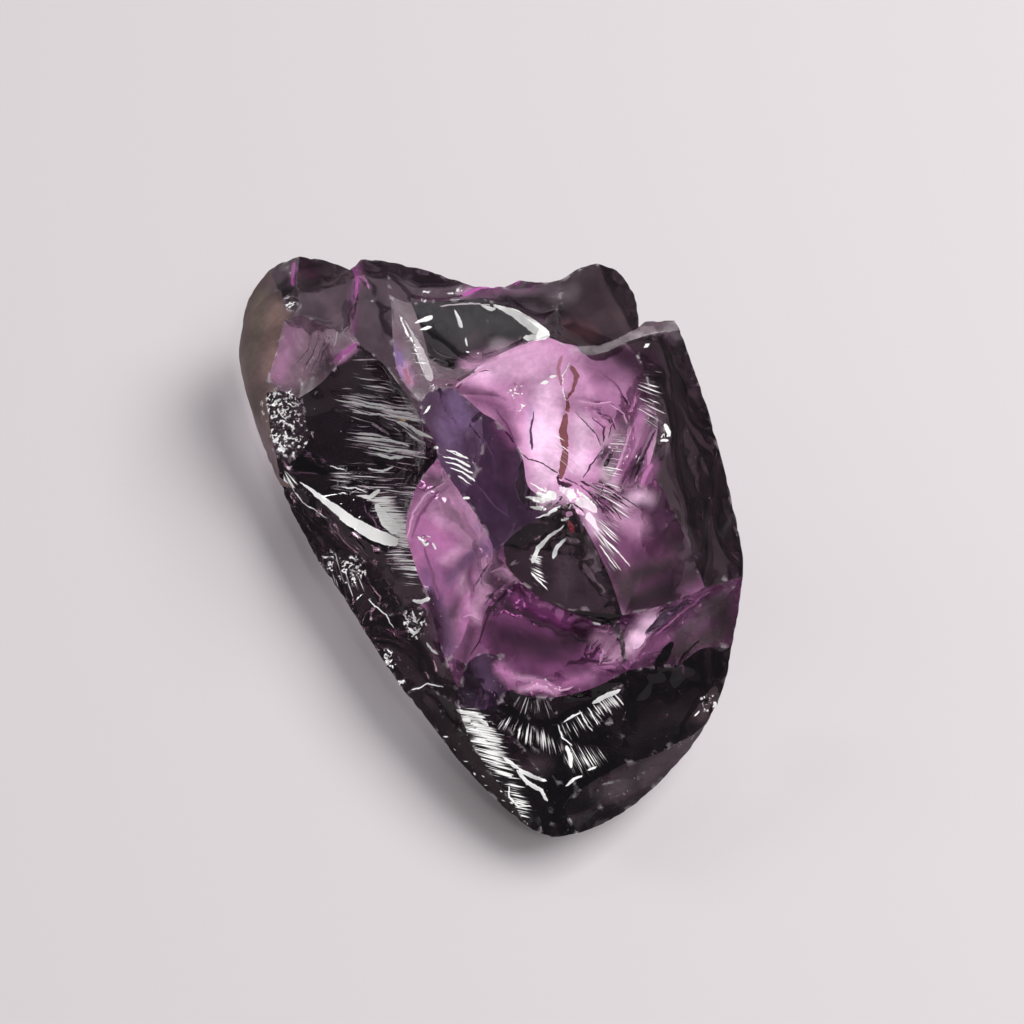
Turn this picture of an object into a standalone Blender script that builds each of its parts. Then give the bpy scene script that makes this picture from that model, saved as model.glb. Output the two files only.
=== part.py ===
"""A rough alexandrite: one natural stone, broken to shape along shell-like scars."""

import bpy
import bmesh
import numpy as np
from mathutils import Vector
from mathutils.geometry import delaunay_2d_cdt

MM = 0.001
SPACING = 0.9  # mm between neighbouring points on a face
CLEARANCE = 0.62  # share of the spacing kept free along every ridge

# The ridges of the stone in millimetres, one chain of corners after another. The flat face it
# rests on is at z = 0, x runs to the right and y runs away from the pointed end.
CHAINS = {
    # rim of the weathered skin, from the lower end up the left side
    "skin": [
        (-14.3, 4.7, 5.0), (-15.2, 6.7, 4.6), (-16.1, 9.1, 4.4), (-16.8, 11.2, 4.6),
        (-17.4, 13.5, 5.0), (-17.6, 15.3, 5.6), (-17.5, 17.8, 6.2), (-17.1, 19.1, 6.8),
        (-16.4, 20.0, 7.4), (-15.6, 20.7, 8.0),
    ],
    # rim of the smoky cap, up to the notch
    "cap": [
        (-14.6, 20.8, 9.0), (-13.2, 20.7, 10.0), (-11.3, 19.8, 11.0), (-10.3, 19.2, 11.4),
        (-9.4, 18.5, 11.8),
    ],
    # rim of the back edge
    "back": [
        (-8.6, 18.9, 12.6), (-6.8, 18.4, 13.2), (-5.1, 18.0, 13.2), (-2.9, 17.3, 13.2),
        (-0.5, 16.3, 13.2), (1.6, 16.4, 13.0), (2.7, 17.2, 12.6), (4.4, 17.1, 12.4),
    ],
    # rim of the ear
    "ear": [
        (5.6, 17.6, 12.0), (6.9, 18.8, 11.6), (8.2, 19.4, 11.2), (9.4, 19.0, 11.2),
        (10.3, 17.8, 11.4), (10.9, 15.8, 12.0),
    ],
    # rim of the plate, corner and right side
    "plate": [
        (11.2, 11.7, 16.4), (13.2, 11.9, 16.2), (13.6, 11.3, 15.9), (14.4, 8.9, 15.3),
        (15.3, 6.2, 14.7), (16.0, 3.7, 14.0), (16.7, 0.9, 13.2), (17.3, -1.6, 12.2),
        (17.7, -3.5, 11.2),
    ],
    # rim of the lower right side
    "right": [
        (17.7, -4.6, 10.4), (17.5, -6.1, 9.4), (17.3, -7.6, 8.2), (17.0, -8.6, 7.4),
        (16.8, -10.1, 6.0), (16.3, -11.3, 5.0), (15.5, -12.8, 4.4), (14.2, -14.7, 4.0),
        (12.5, -16.6, 3.8), (10.8, -18.2, 3.8), (9.0, -19.5, 3.8), (6.7, -20.5, 3.8),
        (4.8, -20.8, 3.6),
    ],
    # rim of the lower left side
    "left": [
        (3.3, -20.2, 3.8), (1.6, -18.9, 4.2), (-0.1, -17.2, 4.4), (-1.8, -15.3, 4.6),
        (-3.5, -13.0, 4.8), (-5.2, -10.9, 5.0), (-6.8, -8.5, 5.0), (-8.4, -5.9, 5.0),
        (-9.9, -3.4, 5.0), (-11.4, -1.2, 5.0), (-12.7, 1.3, 5.0), (-13.6, 3.0, 5.0),
    ],
    # inner edge of the weathered skin
    "seam": [
        (-14.2, 17.0, 10.2), (-14.0, 15.0, 10.8), (-14.5, 12.9, 10.2), (-15.2, 11.0, 9.2),
        (-15.2, 9.5, 8.4), (-15.0, 8.0, 7.5), (-14.6, 6.3, 6.6),
    ],
    # cap, pink patch and the frosted strip below it
    "frost": [
        (-13.1, 17.1, 11.6), (-12.7, 14.5, 12.4), (-10.5, 13.0, 13.2), (-8.8, 16.6, 12.8),
        (-8.6, 14.9, 13.4), (-9.0, 13.1, 13.8), (-8.6, 11.3, 14.2), (-9.7, 11.1, 12.4),
        (-11.2, 10.2, 10.4), (-12.9, 9.6, 9.2), (-14.2, 10.1, 9.4), (-12.5, 8.8, 7.4),
        (-12.5, 7.2, 6.6), (-13.6, 6.1, 6.2),
    ],
    # smoky ridge and the window scar
    "smoke": [
        (-6.9, 9.6, 14.7), (-5.4, 7.4, 14.9), (-4.1, 5.2, 14.8), (-3.0, 3.5, 14.4),
        (-2.9, 2.5, 14.0), (-6.1, 11.7, 14.5), (-5.7, 8.7, 14.8), (-4.7, 7.0, 14.9),
        (-6.3, 15.0, 14.0), (-5.7, 13.4, 13.6), (-4.5, 10.4, 14.0), (-3.3, 8.1, 14.8),
        (-4.0, 6.3, 15.0), (-4.9, 15.1, 13.0), (-4.0, 12.5, 12.7), (-2.2, 15.2, 13.2),
        (-0.1, 15.2, 13.5), (1.6, 14.4, 13.9), (3.0, 13.1, 14.5), (4.5, 11.2, 15.3),
        (5.3, 14.2, 13.6),
    ],
    # plate: back edge, bevel, ridges round the percussion star
    "deck": [
        (-1.7, 8.0, 15.1), (-1.6, 7.0, 15.3), (-0.2, 8.7, 15.5), (1.6, 9.7, 15.8),
        (3.3, 10.4, 15.9), (4.7, 10.6, 16.0), (6.5, 9.9, 16.2), (8.1, 9.9, 16.4), (9.6, 10.5, 16.5),
        (7.0, 8.8, 16.7), (8.2, 9.0, 16.8), (9.8, 9.8, 16.9), (11.5, 10.6, 16.7), (10.9, 8.5, 16.5),
        (11.5, 6.2, 16.2), (11.9, 4.0, 16.0), (11.3, 1.2, 15.6), (9.6, -0.8, 16.0),
        (6.0, -2.0, 16.6), (3.3, -0.8, 15.9), (2.8, 1.9, 15.7), (1.4, 4.2, 15.6), (0.0, 5.4, 15.3),
        (0.2, 3.4, 14.9), (-0.2, 1.5, 14.3), (2.6, -3.2, 14.9), (7.8, -4.7, 14.6),
        (8.8, -6.5, 13.2), (13.5, -2.5, 13.4),
    ],
    # front edge of the plate
    "lip": [
        (-2.1, 1.1, 13.9), (-1.2, -0.2, 13.7), (0.0, -2.0, 13.4), (1.1, -4.1, 13.1),
        (2.3, -5.6, 12.7), (4.0, -7.1, 12.5), (5.6, -7.9, 12.4), (6.9, -8.1, 12.6),
        (8.2, -8.2, 12.6), (9.4, -8.3, 12.5), (10.6, -8.0, 12.4), (12.1, -7.5, 12.2),
        (13.5, -6.9, 12.0), (15.0, -6.0, 11.7), (16.4, -5.3, 11.2), (7.4, -8.4, 11.5),
        (8.8, -8.6, 11.2),
    ],
    # scars below the plate
    "shell": [
        (-4.2, 2.0, 11.6), (-4.9, 0.8, 10.2), (-5.2, -0.7, 9.3), (-4.8, -2.1, 8.7),
        (-4.3, -3.7, 8.3), (-3.4, -5.4, 8.0), (-3.0, -7.7, 7.6), (-2.3, -9.6, 7.3),
        (-1.2, -8.3, 8.2), (-0.7, -6.6, 9.0), (0.0, -5.1, 10.2), (-1.1, -10.1, 7.4),
        (-0.1, -8.6, 8.0), (0.1, -7.2, 8.9), (0.8, -6.2, 10.2), (1.4, -9.6, 7.8), (1.8, -11.6, 7.2),
        (3.0, -12.0, 7.2), (4.7, -12.2, 7.3), (6.7, -11.9, 7.6), (8.4, -11.3, 7.9),
        (9.9, -10.5, 8.1), (9.5, -9.3, 9.6), (11.2, -10.2, 7.9), (13.5, -9.8, 7.4),
        (14.9, -8.6, 7.4),
    ],
    # bottom of the black scoop and the lower facets
    "low": [
        (-12.7, 3.9, 6.2), (-11.0, 2.5, 6.6), (-9.5, 0.8, 6.9), (-8.1, -0.5, 7.1),
        (-6.3, -1.7, 7.5), (-5.9, -5.6, 6.3), (-1.5, -11.5, 6.9), (-1.5, -12.5, 6.5),
        (-3.5, -10.9, 5.7), (-0.9, -14.1, 5.4), (0.3, -16.1, 4.9), (1.8, -18.1, 4.5),
        (1.0, -12.8, 6.3), (2.6, -14.8, 5.6), (4.0, -16.8, 5.0), (4.5, -18.5, 4.6),
        (4.9, -19.9, 4.2), (5.4, -13.6, 5.9), (5.6, -16.0, 5.2), (9.5, -13.5, 6.2),
    ],
    # upper edge of the grey lower facet
    "grey": [
        (6.6, -17.9, 4.8), (8.0, -17.0, 5.0), (9.7, -16.1, 5.2), (11.6, -15.6, 5.3),
        (13.5, -14.5, 5.1), (15.1, -13.4, 4.8),
    ],
    # foot of the plate above the ear
    "step": [
        (6.5, 10.2, 14.8), (8.9, 10.3, 13.8), (11.0, 12.1, 13.0),
    ],
    # resting face
    "base": [
        (-5.7, 1.6, 0.0), (-6.4, 6.2, 0.0), (-4.8, 9.7, 0.0), (-1.7, 11.5, 0.0), (2.3, 10.8, 0.0),
        (6.3, 11.1, 0.0), (9.0, 7.2, 0.0), (10.0, 2.6, 0.0), (9.8, -2.2, 0.0), (8.4, -5.6, 0.0),
        (6.4, -8.2, 0.0), (3.4, -9.9, 0.0), (-0.2, -7.9, 0.0), (-3.4, -3.2, 0.0),
    ],
    # girdle, part way down the sides
    "waist": [
        (-13.2, 3.9, 3.4), (-15.8, 9.7, 3.0), (-15.8, 17.1, 4.4), (-8.8, 19.2, 6.2),
        (-0.2, 18.6, 7.5), (8.3, 20.6, 6.4), (12.6, 12.7, 7.2), (16.1, 3.6, 6.6), (16.4, -3.6, 5.4),
        (15.6, -9.2, 3.7), (12.1, -15.5, 2.6), (4.5, -19.6, 2.4), (-1.0, -14.8, 2.9),
        (-8.2, -5.8, 3.3),
    ],
}

# Every face: how far its middle is hollowed in millimetres (a negative number swells it), and the
# corners round it. "skin0..9" stands for skin0, skin1 and so on to skin9.
FACES = {
    "weathered skin": (-1.3, "skin0 seam6..0 skin9..1"),
    "cap_left": (0.5, "skin9 seam0 seam1 frost1 frost0 cap1 cap0"),
    "cap_right": (0.9, "cap1 frost0..2 frost6..3 cap4..2"),
    "pink_patch": (0.9, "frost1 seam1..3 frost10..6 frost2"),
    "frosted_strip": (0.4, "seam3..6 frost13..11 frost9 frost10"),
    "black_scoop": (3.2, "frost9 frost11..13 seam6 skin0 low0..4 shell4..0 smoke4..0 frost6..8"),
    "smoky_ridge": (0.3, "cap4 frost3..6 smoke0..2 smoke7..5 smoke8 back1 back0"),
    "rainbow_facet": (0.35, "smoke8 smoke5..7 smoke12..9"),
    "window_side": (0.3, "smoke8..11 smoke14 smoke13"),
    "window": (2.3, "smoke13 smoke14 smoke11 deck0 deck2..5 smoke19..15"),
    "back_band": (0.35, "back1 smoke8 smoke13 smoke15 smoke16 back4..2"),
    "back_dark": (0.9, "back4 smoke16..20 ear0 back7..5"),
    "ear": (0.9, "ear0 smoke20 smoke19 deck5 deck6 step0..2 ear5..1"),
    "step": (0.0, "deck6..8 plate0 step2..0"),
    "bevel": (0.0, "deck6 deck9..12 plate2..0 deck8 deck7"),
    "small_facet": (0.1, "smoke11 deck1 deck2 deck0"),
    "indigo_facet": (0.8, "deck1 smoke11 smoke12 smoke7 smoke2..4 lip0 lip1 deck24..22"),
    "plate_bright": (1.3, "deck1 deck22..13 deck11..9 deck6..2"),
    "plate_right": (1.0, "deck11 deck13..16 deck28 lip13 lip14 right0 plate8..2 deck12"),
    "plate_lower": (1.0, "deck18 deck26 deck27 lip9..13 deck28 deck16 deck17"),
    "plate_front": (1.1, "deck18 deck25 lip3..9 deck27 deck26"),
    "plate_left": (0.6, "deck18..24 lip1..3 deck25"),
    "wedge": (0.1, "lip6 lip15 lip16 lip9..7"),
    "petal": (1.9, "smoke4 shell0..10 lip3..0"),
    "pink_strip": (0.6, "lip3 shell10..7 low6 shell11..14 lip4"),
    "crescent": (2.2, "lip4 shell14..12 shell15..22 lip16 lip15 lip6 lip5"),
    "low_indigo": (0.5, "shell11 low6 low7 low12 shell16 shell15 shell12"),
    "magenta_crescent": (1.5, "lip9 lip16 shell22 shell21 shell23..25 right3..0 lip14..10"),
    "left_band_upper": (1.1, "skin0 left11..7 low5 shell5 shell4 low4..0"),
    "left_band_middle": (0.8, "left7..5 low8..6 shell7..5 low5"),
    "left_band_lower": (0.6, "left5..0 low11..9 low7 low8"),
    "hackle_band": (0.5, "low7 low9..11 left0 right12 low16..12"),
    "hackle_fan": (0.9, "low12..16 grey0 low18 low17 shell18..16"),
    "hackle_upper": (0.5, "shell18 low17 low19 shell21..19"),
    "hackle_lower": (0.6, "low17 low18 grey0..2 low19"),
    "black_band": (0.9, "shell21 low19 grey2..5 right5..3 shell25..23"),
    "grey_facet": (0.7, "grey0 low16 right12..5 grey5..1"),
    "side_left_front": (0.4, "skin0..3 waist1 waist0"),
    "side_left_upper": (0.5, "skin3..7 waist2 waist1"),
    "side_cap": (0.9, "skin7..9 cap0..4 waist3 waist2"),
    "side_back": (0.8, "cap4 back0..4 waist4 waist3"),
    "side_ear": (0.8, "back4..7 ear0..2 waist5 waist4"),
    "side_corner": (0.8, "ear2..5 step2 plate0 waist6 waist5"),
    "side_right_back": (1.2, "plate0..5 waist7 waist6"),
    "side_right_front": (0.9, "plate5..8 waist8 waist7"),
    "side_right_low": (0.7, "plate8 right0..4 waist9 waist8"),
    "side_front_right": (0.4, "right4..8 waist10 waist9"),
    "side_front_tip": (0.3, "right8..12 waist11 waist10"),
    "side_front_left": (0.3, "right12 left0..3 waist12 waist11"),
    "side_left_tip": (0.4, "left3..7 waist13 waist12"),
    "side_left_middle": (0.4, "left7..11 skin0 waist0 waist13"),
    "under_left": (0.5, "waist0 waist1 base1 base0"),
    "under_cap": (0.9, "waist1..3 base3..1"),
    "under_back": (0.7, "waist3 waist4 base4 base3"),
    "under_ear": (1.0, "waist4..6 base6..4"),
    "under_right_back": (0.7, "waist6 waist7 base7 base6"),
    "under_right": (0.9, "waist7..9 base9..7"),
    "under_front_right": (0.5, "waist9 waist10 base10 base9"),
    "under_front": (0.6, "waist10..12 base12..10"),
    "under_left_tip": (0.5, "waist12 waist13 base13 base12"),
    "under_left_middle": (0.5, "waist13 waist0 base0 base13"),
    "resting_face": (0.0, "base0..13"),
}


def spelled_out(text):
    """The corner names of a line such as "skin0..3 seam2"."""
    names = []
    for word in text.split():
        chain = word.rstrip("0123456789.")
        ends = [int(number) for number in word[len(chain) :].split("..")]
        step = 1 if ends[-1] >= ends[0] else -1
        names += [f"{chain}{number}" for number in range(ends[0], ends[-1] + step, step)]
    return names


def neighbours_of(loops):
    """The corners joined to each corner by a ridge."""
    joined = {}
    for loop in loops:
        for one, other in zip(loop, loop[1:] + loop[:1]):
            joined.setdefault(one, set()).add(other)
            joined.setdefault(other, set()).add(one)
    return joined


def slope_at(corner, before, after, corners, joined):
    """The direction of a ridge at a corner: smooth along one ridge, free where several meet."""
    if len(joined[corner]) == 2:
        (past,) = joined[corner] - {after}
        return (corners[after] - corners[past]) / 2
    return corners[after] - corners[before]


def ridge_points(one, other, corners, joined):
    """Points from one corner up to the other, the same whichever face asks."""
    first, last = sorted((one, other))
    start, end = corners[first], corners[last]
    leaving = slope_at(first, first, last, corners, joined)
    arriving = -slope_at(last, last, first, corners, joined)
    count = max(1, round(float(np.linalg.norm(end - start)) / SPACING))
    points = []
    for t in np.arange(count + 1) / count:
        bend = (2 * t**3 - 3 * t**2 + 1) * start + (t**3 - 2 * t**2 + t) * leaving
        points.append(bend + (3 * t**2 - 2 * t**3) * end + (t**3 - t**2) * arriving)
    points[0], points[-1] = start, end
    return points[:-1] if (one, other) == (first, last) else points[:0:-1]


def plane_of(outline):
    """The middle of an outline and three directions: two along its face and one out of it."""
    middle = outline.mean(axis=0)
    ahead = np.roll(outline, -1, axis=0)
    normal = np.cross(outline - middle, ahead - middle).sum(axis=0)
    normal /= np.linalg.norm(normal)
    along = ahead[0] - outline[0]
    along -= normal * along.dot(normal)
    along /= np.linalg.norm(along)
    return middle, along, np.cross(normal, along), normal


def inside(point, outline):
    """Whether a point of the plane lies inside the outline, and how far it is from its edge."""
    start = outline
    run = np.roll(outline, -1, axis=0) - start
    share = ((point - start) * run).sum(axis=1) / (run * run).sum(axis=1)
    nearest = start + np.clip(share, 0, 1)[:, None] * run
    gap = np.linalg.norm(nearest - point, axis=1).min()
    above = start[:, 1] > point[1]
    crosses = above != np.roll(above, -1)
    height = np.where(run[:, 1] == 0, 1, run[:, 1])
    at = start[:, 0] + (point[1] - start[:, 1]) * run[:, 0] / height
    return bool((crosses & (at > point[0])).sum() % 2), gap


def inner_points(outline):
    """Points in a triangle pattern inside an outline of the plane."""
    low, high = outline.min(axis=0), outline.max(axis=0)
    rise = SPACING * 0.866
    points = []
    for row in range(int((high[1] - low[1]) / rise) + 1):
        y = low[1] + (row + 0.5) * rise
        for column in range(int((high[0] - low[0]) / SPACING) + 2):
            point = np.array((low[0] + (column + 0.5 * (row % 2)) * SPACING, y))
            within, gap = inside(point, outline)
            if within and gap > CLEARANCE * SPACING:
                points.append(point)
    return points


def sheet(outline, hollow):
    """The points and triangles of one face: stretched over its ridges, then hollowed."""
    middle, along, across, normal = plane_of(outline)
    flat = np.stack([(outline - middle) @ along, (outline - middle) @ across], axis=1)
    count = len(flat)
    spots = list(flat) + inner_points(flat)
    sides = [(i, (i + 1) % count) for i in range(count)]
    made = delaunay_2d_cdt([Vector(p) for p in spots], sides, [], 1, 1e-6)
    places, triangles, sources = made[0], made[2], made[3]
    heights = (outline - middle) @ normal
    fixed = {}
    for place, source in enumerate(sources):
        for index in source:
            if index < count:
                fixed[place] = index
    joined = [set() for _ in places]
    for a, b, c in triangles:
        joined[a] |= {b, c}
        joined[b] |= {a, c}
        joined[c] |= {a, b}
    free = [i for i in range(len(places)) if i not in fixed]
    order = {place: row for row, place in enumerate(free)}
    pull = np.zeros((len(free), len(free)))
    held = np.zeros(len(free))
    for place, row in order.items():
        pull[row, row] = len(joined[place])
        for other in joined[place]:
            if other in fixed:
                held[row] += heights[fixed[other]]
            else:
                pull[row, order[other]] = -1
    points = [None] * len(places)
    for place, index in fixed.items():
        points[place] = outline[index]
    if free:
        level = np.linalg.solve(pull, held)
        sag = np.linalg.solve(pull, np.ones(len(free)))
        level -= hollow * sag / sag.max()
        for place, row in order.items():
            x, y = places[place]
            points[place] = middle + x * along + y * across + level[row] * normal
    return points, triangles


def stone_mesh():
    """All the faces sewn into one closed skin."""
    corners = {}
    for chain, places in CHAINS.items():
        for number, place in enumerate(places):
            corners[f"{chain}{number}"] = np.array(place, float)
    loops = {name: spelled_out(text) for name, (_, text) in FACES.items()}
    joined = neighbours_of(loops.values())
    skin = bmesh.new()
    for name, (hollow, _) in FACES.items():
        loop = loops[name]
        outline = []
        for one, other in zip(loop, loop[1:] + loop[:1]):
            outline += ridge_points(one, other, corners, joined)
        points, triangles = sheet(np.array(outline), hollow)
        verts = [skin.verts.new(point * MM) for point in points]
        for triangle in triangles:
            skin.faces.new([verts[i] for i in triangle])
    bmesh.ops.remove_doubles(skin, verts=skin.verts, dist=1e-7)
    bmesh.ops.recalc_face_normals(skin, faces=skin.faces)
    places = np.array([vert.co for vert in skin.verts])
    middle = (places.min(axis=0) + places.max(axis=0)) / 2
    bmesh.ops.translate(skin, verts=skin.verts, vec=(-middle[0], -middle[1], 0.0))
    mesh = bpy.data.meshes.new("rough_alexandrite")
    skin.to_mesh(mesh)
    skin.free()
    return mesh


def crystal_material():
    """Clear violet chrysoberyl."""
    material = bpy.data.materials.new("violet_crystal")
    material.use_nodes = True
    shader = material.node_tree.nodes["Principled BSDF"]
    shader.inputs["Base Color"].default_value = (0.33, 0.14, 0.36, 1.0)
    shader.inputs["Roughness"].default_value = 0.08
    shader.inputs["IOR"].default_value = 1.745
    shader.inputs["Transmission Weight"].default_value = 0.9
    material.diffuse_color = (0.33, 0.14, 0.36, 1.0)
    return material


for old in list(bpy.data.objects):
    bpy.data.objects.remove(old, do_unlink=True)

stone = bpy.data.objects.new("rough_alexandrite", stone_mesh())
stone.data.materials.append(crystal_material())
bpy.context.scene.collection.objects.link(stone)
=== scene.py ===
# %% [markdown]
# # A rough violet crystal
#
# This lesson dresses one rough stone: a piece of alexandrite that was broken to shape by blows.
# The imported model holds its true form, about sixty shell-like scars that meet in sharp ridges.
# The lesson rounds that form into a fine surface, breaks it up the way a real fracture is broken
# up, and gives it a clear violet body, with light and shade painted on so that it looks black,
# smoky or bright from scar to scar.

# %% Load the imported model
import heapq
import math

import bmesh
import bpy
import numpy as np
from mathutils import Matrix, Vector, kdtree, noise


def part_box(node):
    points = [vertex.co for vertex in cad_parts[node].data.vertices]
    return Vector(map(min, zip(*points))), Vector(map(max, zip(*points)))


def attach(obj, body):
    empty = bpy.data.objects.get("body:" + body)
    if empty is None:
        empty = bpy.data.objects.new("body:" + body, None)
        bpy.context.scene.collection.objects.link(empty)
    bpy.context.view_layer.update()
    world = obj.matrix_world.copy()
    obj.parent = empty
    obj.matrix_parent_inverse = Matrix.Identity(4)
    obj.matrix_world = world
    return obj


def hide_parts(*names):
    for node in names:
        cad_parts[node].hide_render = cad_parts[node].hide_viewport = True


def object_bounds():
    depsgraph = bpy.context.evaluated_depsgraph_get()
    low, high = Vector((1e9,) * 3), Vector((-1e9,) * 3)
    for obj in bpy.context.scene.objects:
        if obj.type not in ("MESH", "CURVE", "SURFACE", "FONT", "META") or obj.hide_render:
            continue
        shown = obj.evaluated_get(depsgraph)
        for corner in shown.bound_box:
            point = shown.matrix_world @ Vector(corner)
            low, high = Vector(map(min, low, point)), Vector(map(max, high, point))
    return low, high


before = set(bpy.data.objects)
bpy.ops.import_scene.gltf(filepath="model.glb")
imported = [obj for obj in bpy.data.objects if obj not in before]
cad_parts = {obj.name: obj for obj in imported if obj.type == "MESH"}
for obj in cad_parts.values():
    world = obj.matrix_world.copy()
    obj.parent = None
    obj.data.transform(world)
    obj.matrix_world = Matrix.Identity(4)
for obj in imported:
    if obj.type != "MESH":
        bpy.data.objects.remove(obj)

CAD_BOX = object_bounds()
MM = 0.001
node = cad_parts["rough_alexandrite"]
low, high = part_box("rough_alexandrite")
print("stone, mm:", [round(side / MM, 1) for side in high - low])

# %% [markdown]
# ## The camera
#
# The stone lies flat and is looked at from 65 degrees above the table, over its pointed end. An
# 85 mm lens keeps the perspective mild, as it is in pictures of small things. The camera comes
# first, because places on the stone are named later by the pixel where this camera sees them.

# %% Camera
PICTURE = 1024
LENS = 85.0
SENSOR = 36.0
ELEVATION = math.radians(65)
PIXELS_PER_MM = 14.5
STONE_MIDDLE = Vector((0.8, -1.35, 8.0)) * MM
MIDDLE_PIXEL = (493, 547)

back = Vector((0, -math.cos(ELEVATION), math.sin(ELEVATION)))
up = Vector((0, math.sin(ELEVATION), math.cos(ELEVATION)))
right = Vector((1, 0, 0))
pixel = MM / PIXELS_PER_MM
aim = STONE_MIDDLE - (MIDDLE_PIXEL[0] - PICTURE / 2) * pixel * right
aim -= (PICTURE / 2 - MIDDLE_PIXEL[1]) * pixel * up

bpy.ops.object.select_all(action="DESELECT")
bpy.ops.object.camera_add(rotation=(math.pi / 2 - ELEVATION, 0, 0))
camera = bpy.context.object
camera.name = "camera"
camera.data.lens = LENS
camera.data.sensor_width = SENSOR
camera.data.clip_start = 0.01
camera.location = aim + back * (LENS / SENSOR * PICTURE * pixel)
bpy.context.scene.camera = camera
print("camera to stone, mm:", round((camera.location - STONE_MIDDLE).length / MM))

# %% [markdown]
# ## A fine copy of the stone
#
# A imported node's mesh is loose triangles, so a copy of it is merged first. The copy will stand for
# the node, which stays in the simulation to carry the collision.

# %% Copy and merge
bpy.ops.object.select_all(action="DESELECT")
bpy.context.view_layer.objects.active = node
node.select_set(True)
bpy.ops.object.duplicate()
stone = bpy.context.view_layer.objects.active
stone.name = "stone"
stone.parent = None
bpy.ops.object.mode_set(mode="EDIT")
bpy.ops.mesh.select_all(action="SELECT")
bpy.ops.mesh.remove_doubles(threshold=MM / 1000)
bpy.ops.mesh.customdata_custom_splitnormals_clear()
bpy.ops.object.mode_set(mode="OBJECT")
print("points and faces:", len(stone.data.vertices), len(stone.data.polygons))

# %% [markdown]
# ## Which face belongs to which scar
#
# A scar is the shell-shaped hollow that one blow leaves. Each is named here by places on it: the
# pixels where the camera sees it, or a direction for those on the sides and underneath. From
# there it grows over the flattest edges first, as water fills a valley, so that two scars meet
# on the ridge between them. Some ridges are too faint to stop the growth, so all of them are also
# drawn as lines, as a carver marks a stone with chalk before working on it.

# %% Places on the stone
FAR = 0.1


def look_at(x, y):
    """Whether the camera sees the stone at a pixel, and if so at which point and face."""
    ray = (x - PICTURE / 2) * right + (PICTURE / 2 - y) * up - LENS / SENSOR * PICTURE * back
    found, place, _, face = stone.ray_cast(camera.location, ray.normalized())
    return found, place, face


def seen_at(x, y):
    """The point of the stone that the camera sees at a pixel, and its face."""
    found, place, face = look_at(x, y)
    assert found, (x, y)
    return place, face


def from_side(azimuth, height):
    """The point of the side that is met on the way in from an azimuth, at a height in mm."""
    turn = math.radians(azimuth)
    outward = Vector((math.cos(turn), math.sin(turn), 0))
    start = Vector((0, MM, height * MM)) + outward * FAR
    found, place, _, face = stone.ray_cast(start, -outward)
    assert found, (azimuth, height)
    return place, face


def from_below(x, y):
    """The point of the underside above a place on the table, in mm."""
    found, place, _, face = stone.ray_cast(Vector((x * MM, y * MM, -FAR)), Vector((0, 0, 1)))
    assert found, (x, y)
    return place, face


print("top of the stone under its middle pixel, mm:", round(seen_at(*MIDDLE_PIXEL)[0].z / MM, 1))

# %% Scars on top
SEEN = {
    # The pixels that lie on each scar.
    "weathered skin": [(258, 320), (256, 400), (272, 460)],
    "cap left": [(284, 292)],
    "cap right": [(325, 292), (345, 300), (325, 318)],
    "pink patch": [(318, 345), (295, 370)],
    "frosted strip": [(278, 405), (290, 430), (282, 455)],
    "black scoop": [(340, 400), (380, 420), (340, 480), (385, 520), (300, 470)],
    "smoky ridge": [(370, 285), (375, 330), (390, 365)],
    "rainbow facet": [(398, 320), (407, 355), (422, 384)],
    "window side": [(403, 312), (420, 345), (430, 365)],
    "window": [(485, 330), (440, 350), (525, 335)],
    "back band": [(400, 285), (440, 288), (480, 293)],
    "back dark": [(510, 295), (540, 300), (555, 320)],
    "ear": [(600, 300), (575, 320)],
    "bevel": [(610, 349), (650, 331), (672, 325)],
    "small facet": [(450, 383)],
    "indigo facet": [(440, 400), (452, 440), (462, 480)],
    "bright plate": [(500, 390), (560, 380), (600, 440), (550, 460)],
    "right plate": [(665, 370), (695, 450), (720, 540), (660, 480)],
    "lower plate": [(620, 530), (680, 570), (640, 590)],
    "front plate": [(540, 540), (560, 590), (580, 560)],
    "left plate": [(498, 440), (505, 500), (482, 500)],
    "wedge": [(592, 618)],
    "petal": [(425, 530), (450, 500), (450, 570), (440, 620)],
    "pink strip": [(490, 560), (478, 600), (460, 645)],
    "crescent": [(520, 620), (505, 655), (560, 660), (590, 640)],
    "low indigo": [(470, 690), (490, 675), (495, 700)],
    "magenta crescent": [(640, 630), (680, 640), (715, 610)],
    "upper left band": [(310, 520), (345, 565), (380, 600)],
    "middle left band": [(400, 650), (425, 680), (440, 690)],
    "lower left band": [(435, 712), (460, 750), (490, 785)],
    "comb": [(475, 718), (500, 755), (525, 785), (538, 815)],
    "bowl": [(520, 715), (545, 725), (545, 765), (558, 795)],
    "upper rungs": [(575, 715), (605, 700)],
    "lower rungs": [(578, 750), (605, 745), (578, 775)],
    "black band": [(650, 690), (690, 695), (660, 725), (715, 670)],
    "grey facet": [(600, 800), (640, 785), (690, 740)],
}
print("scars on top:", len(SEEN))

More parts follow.
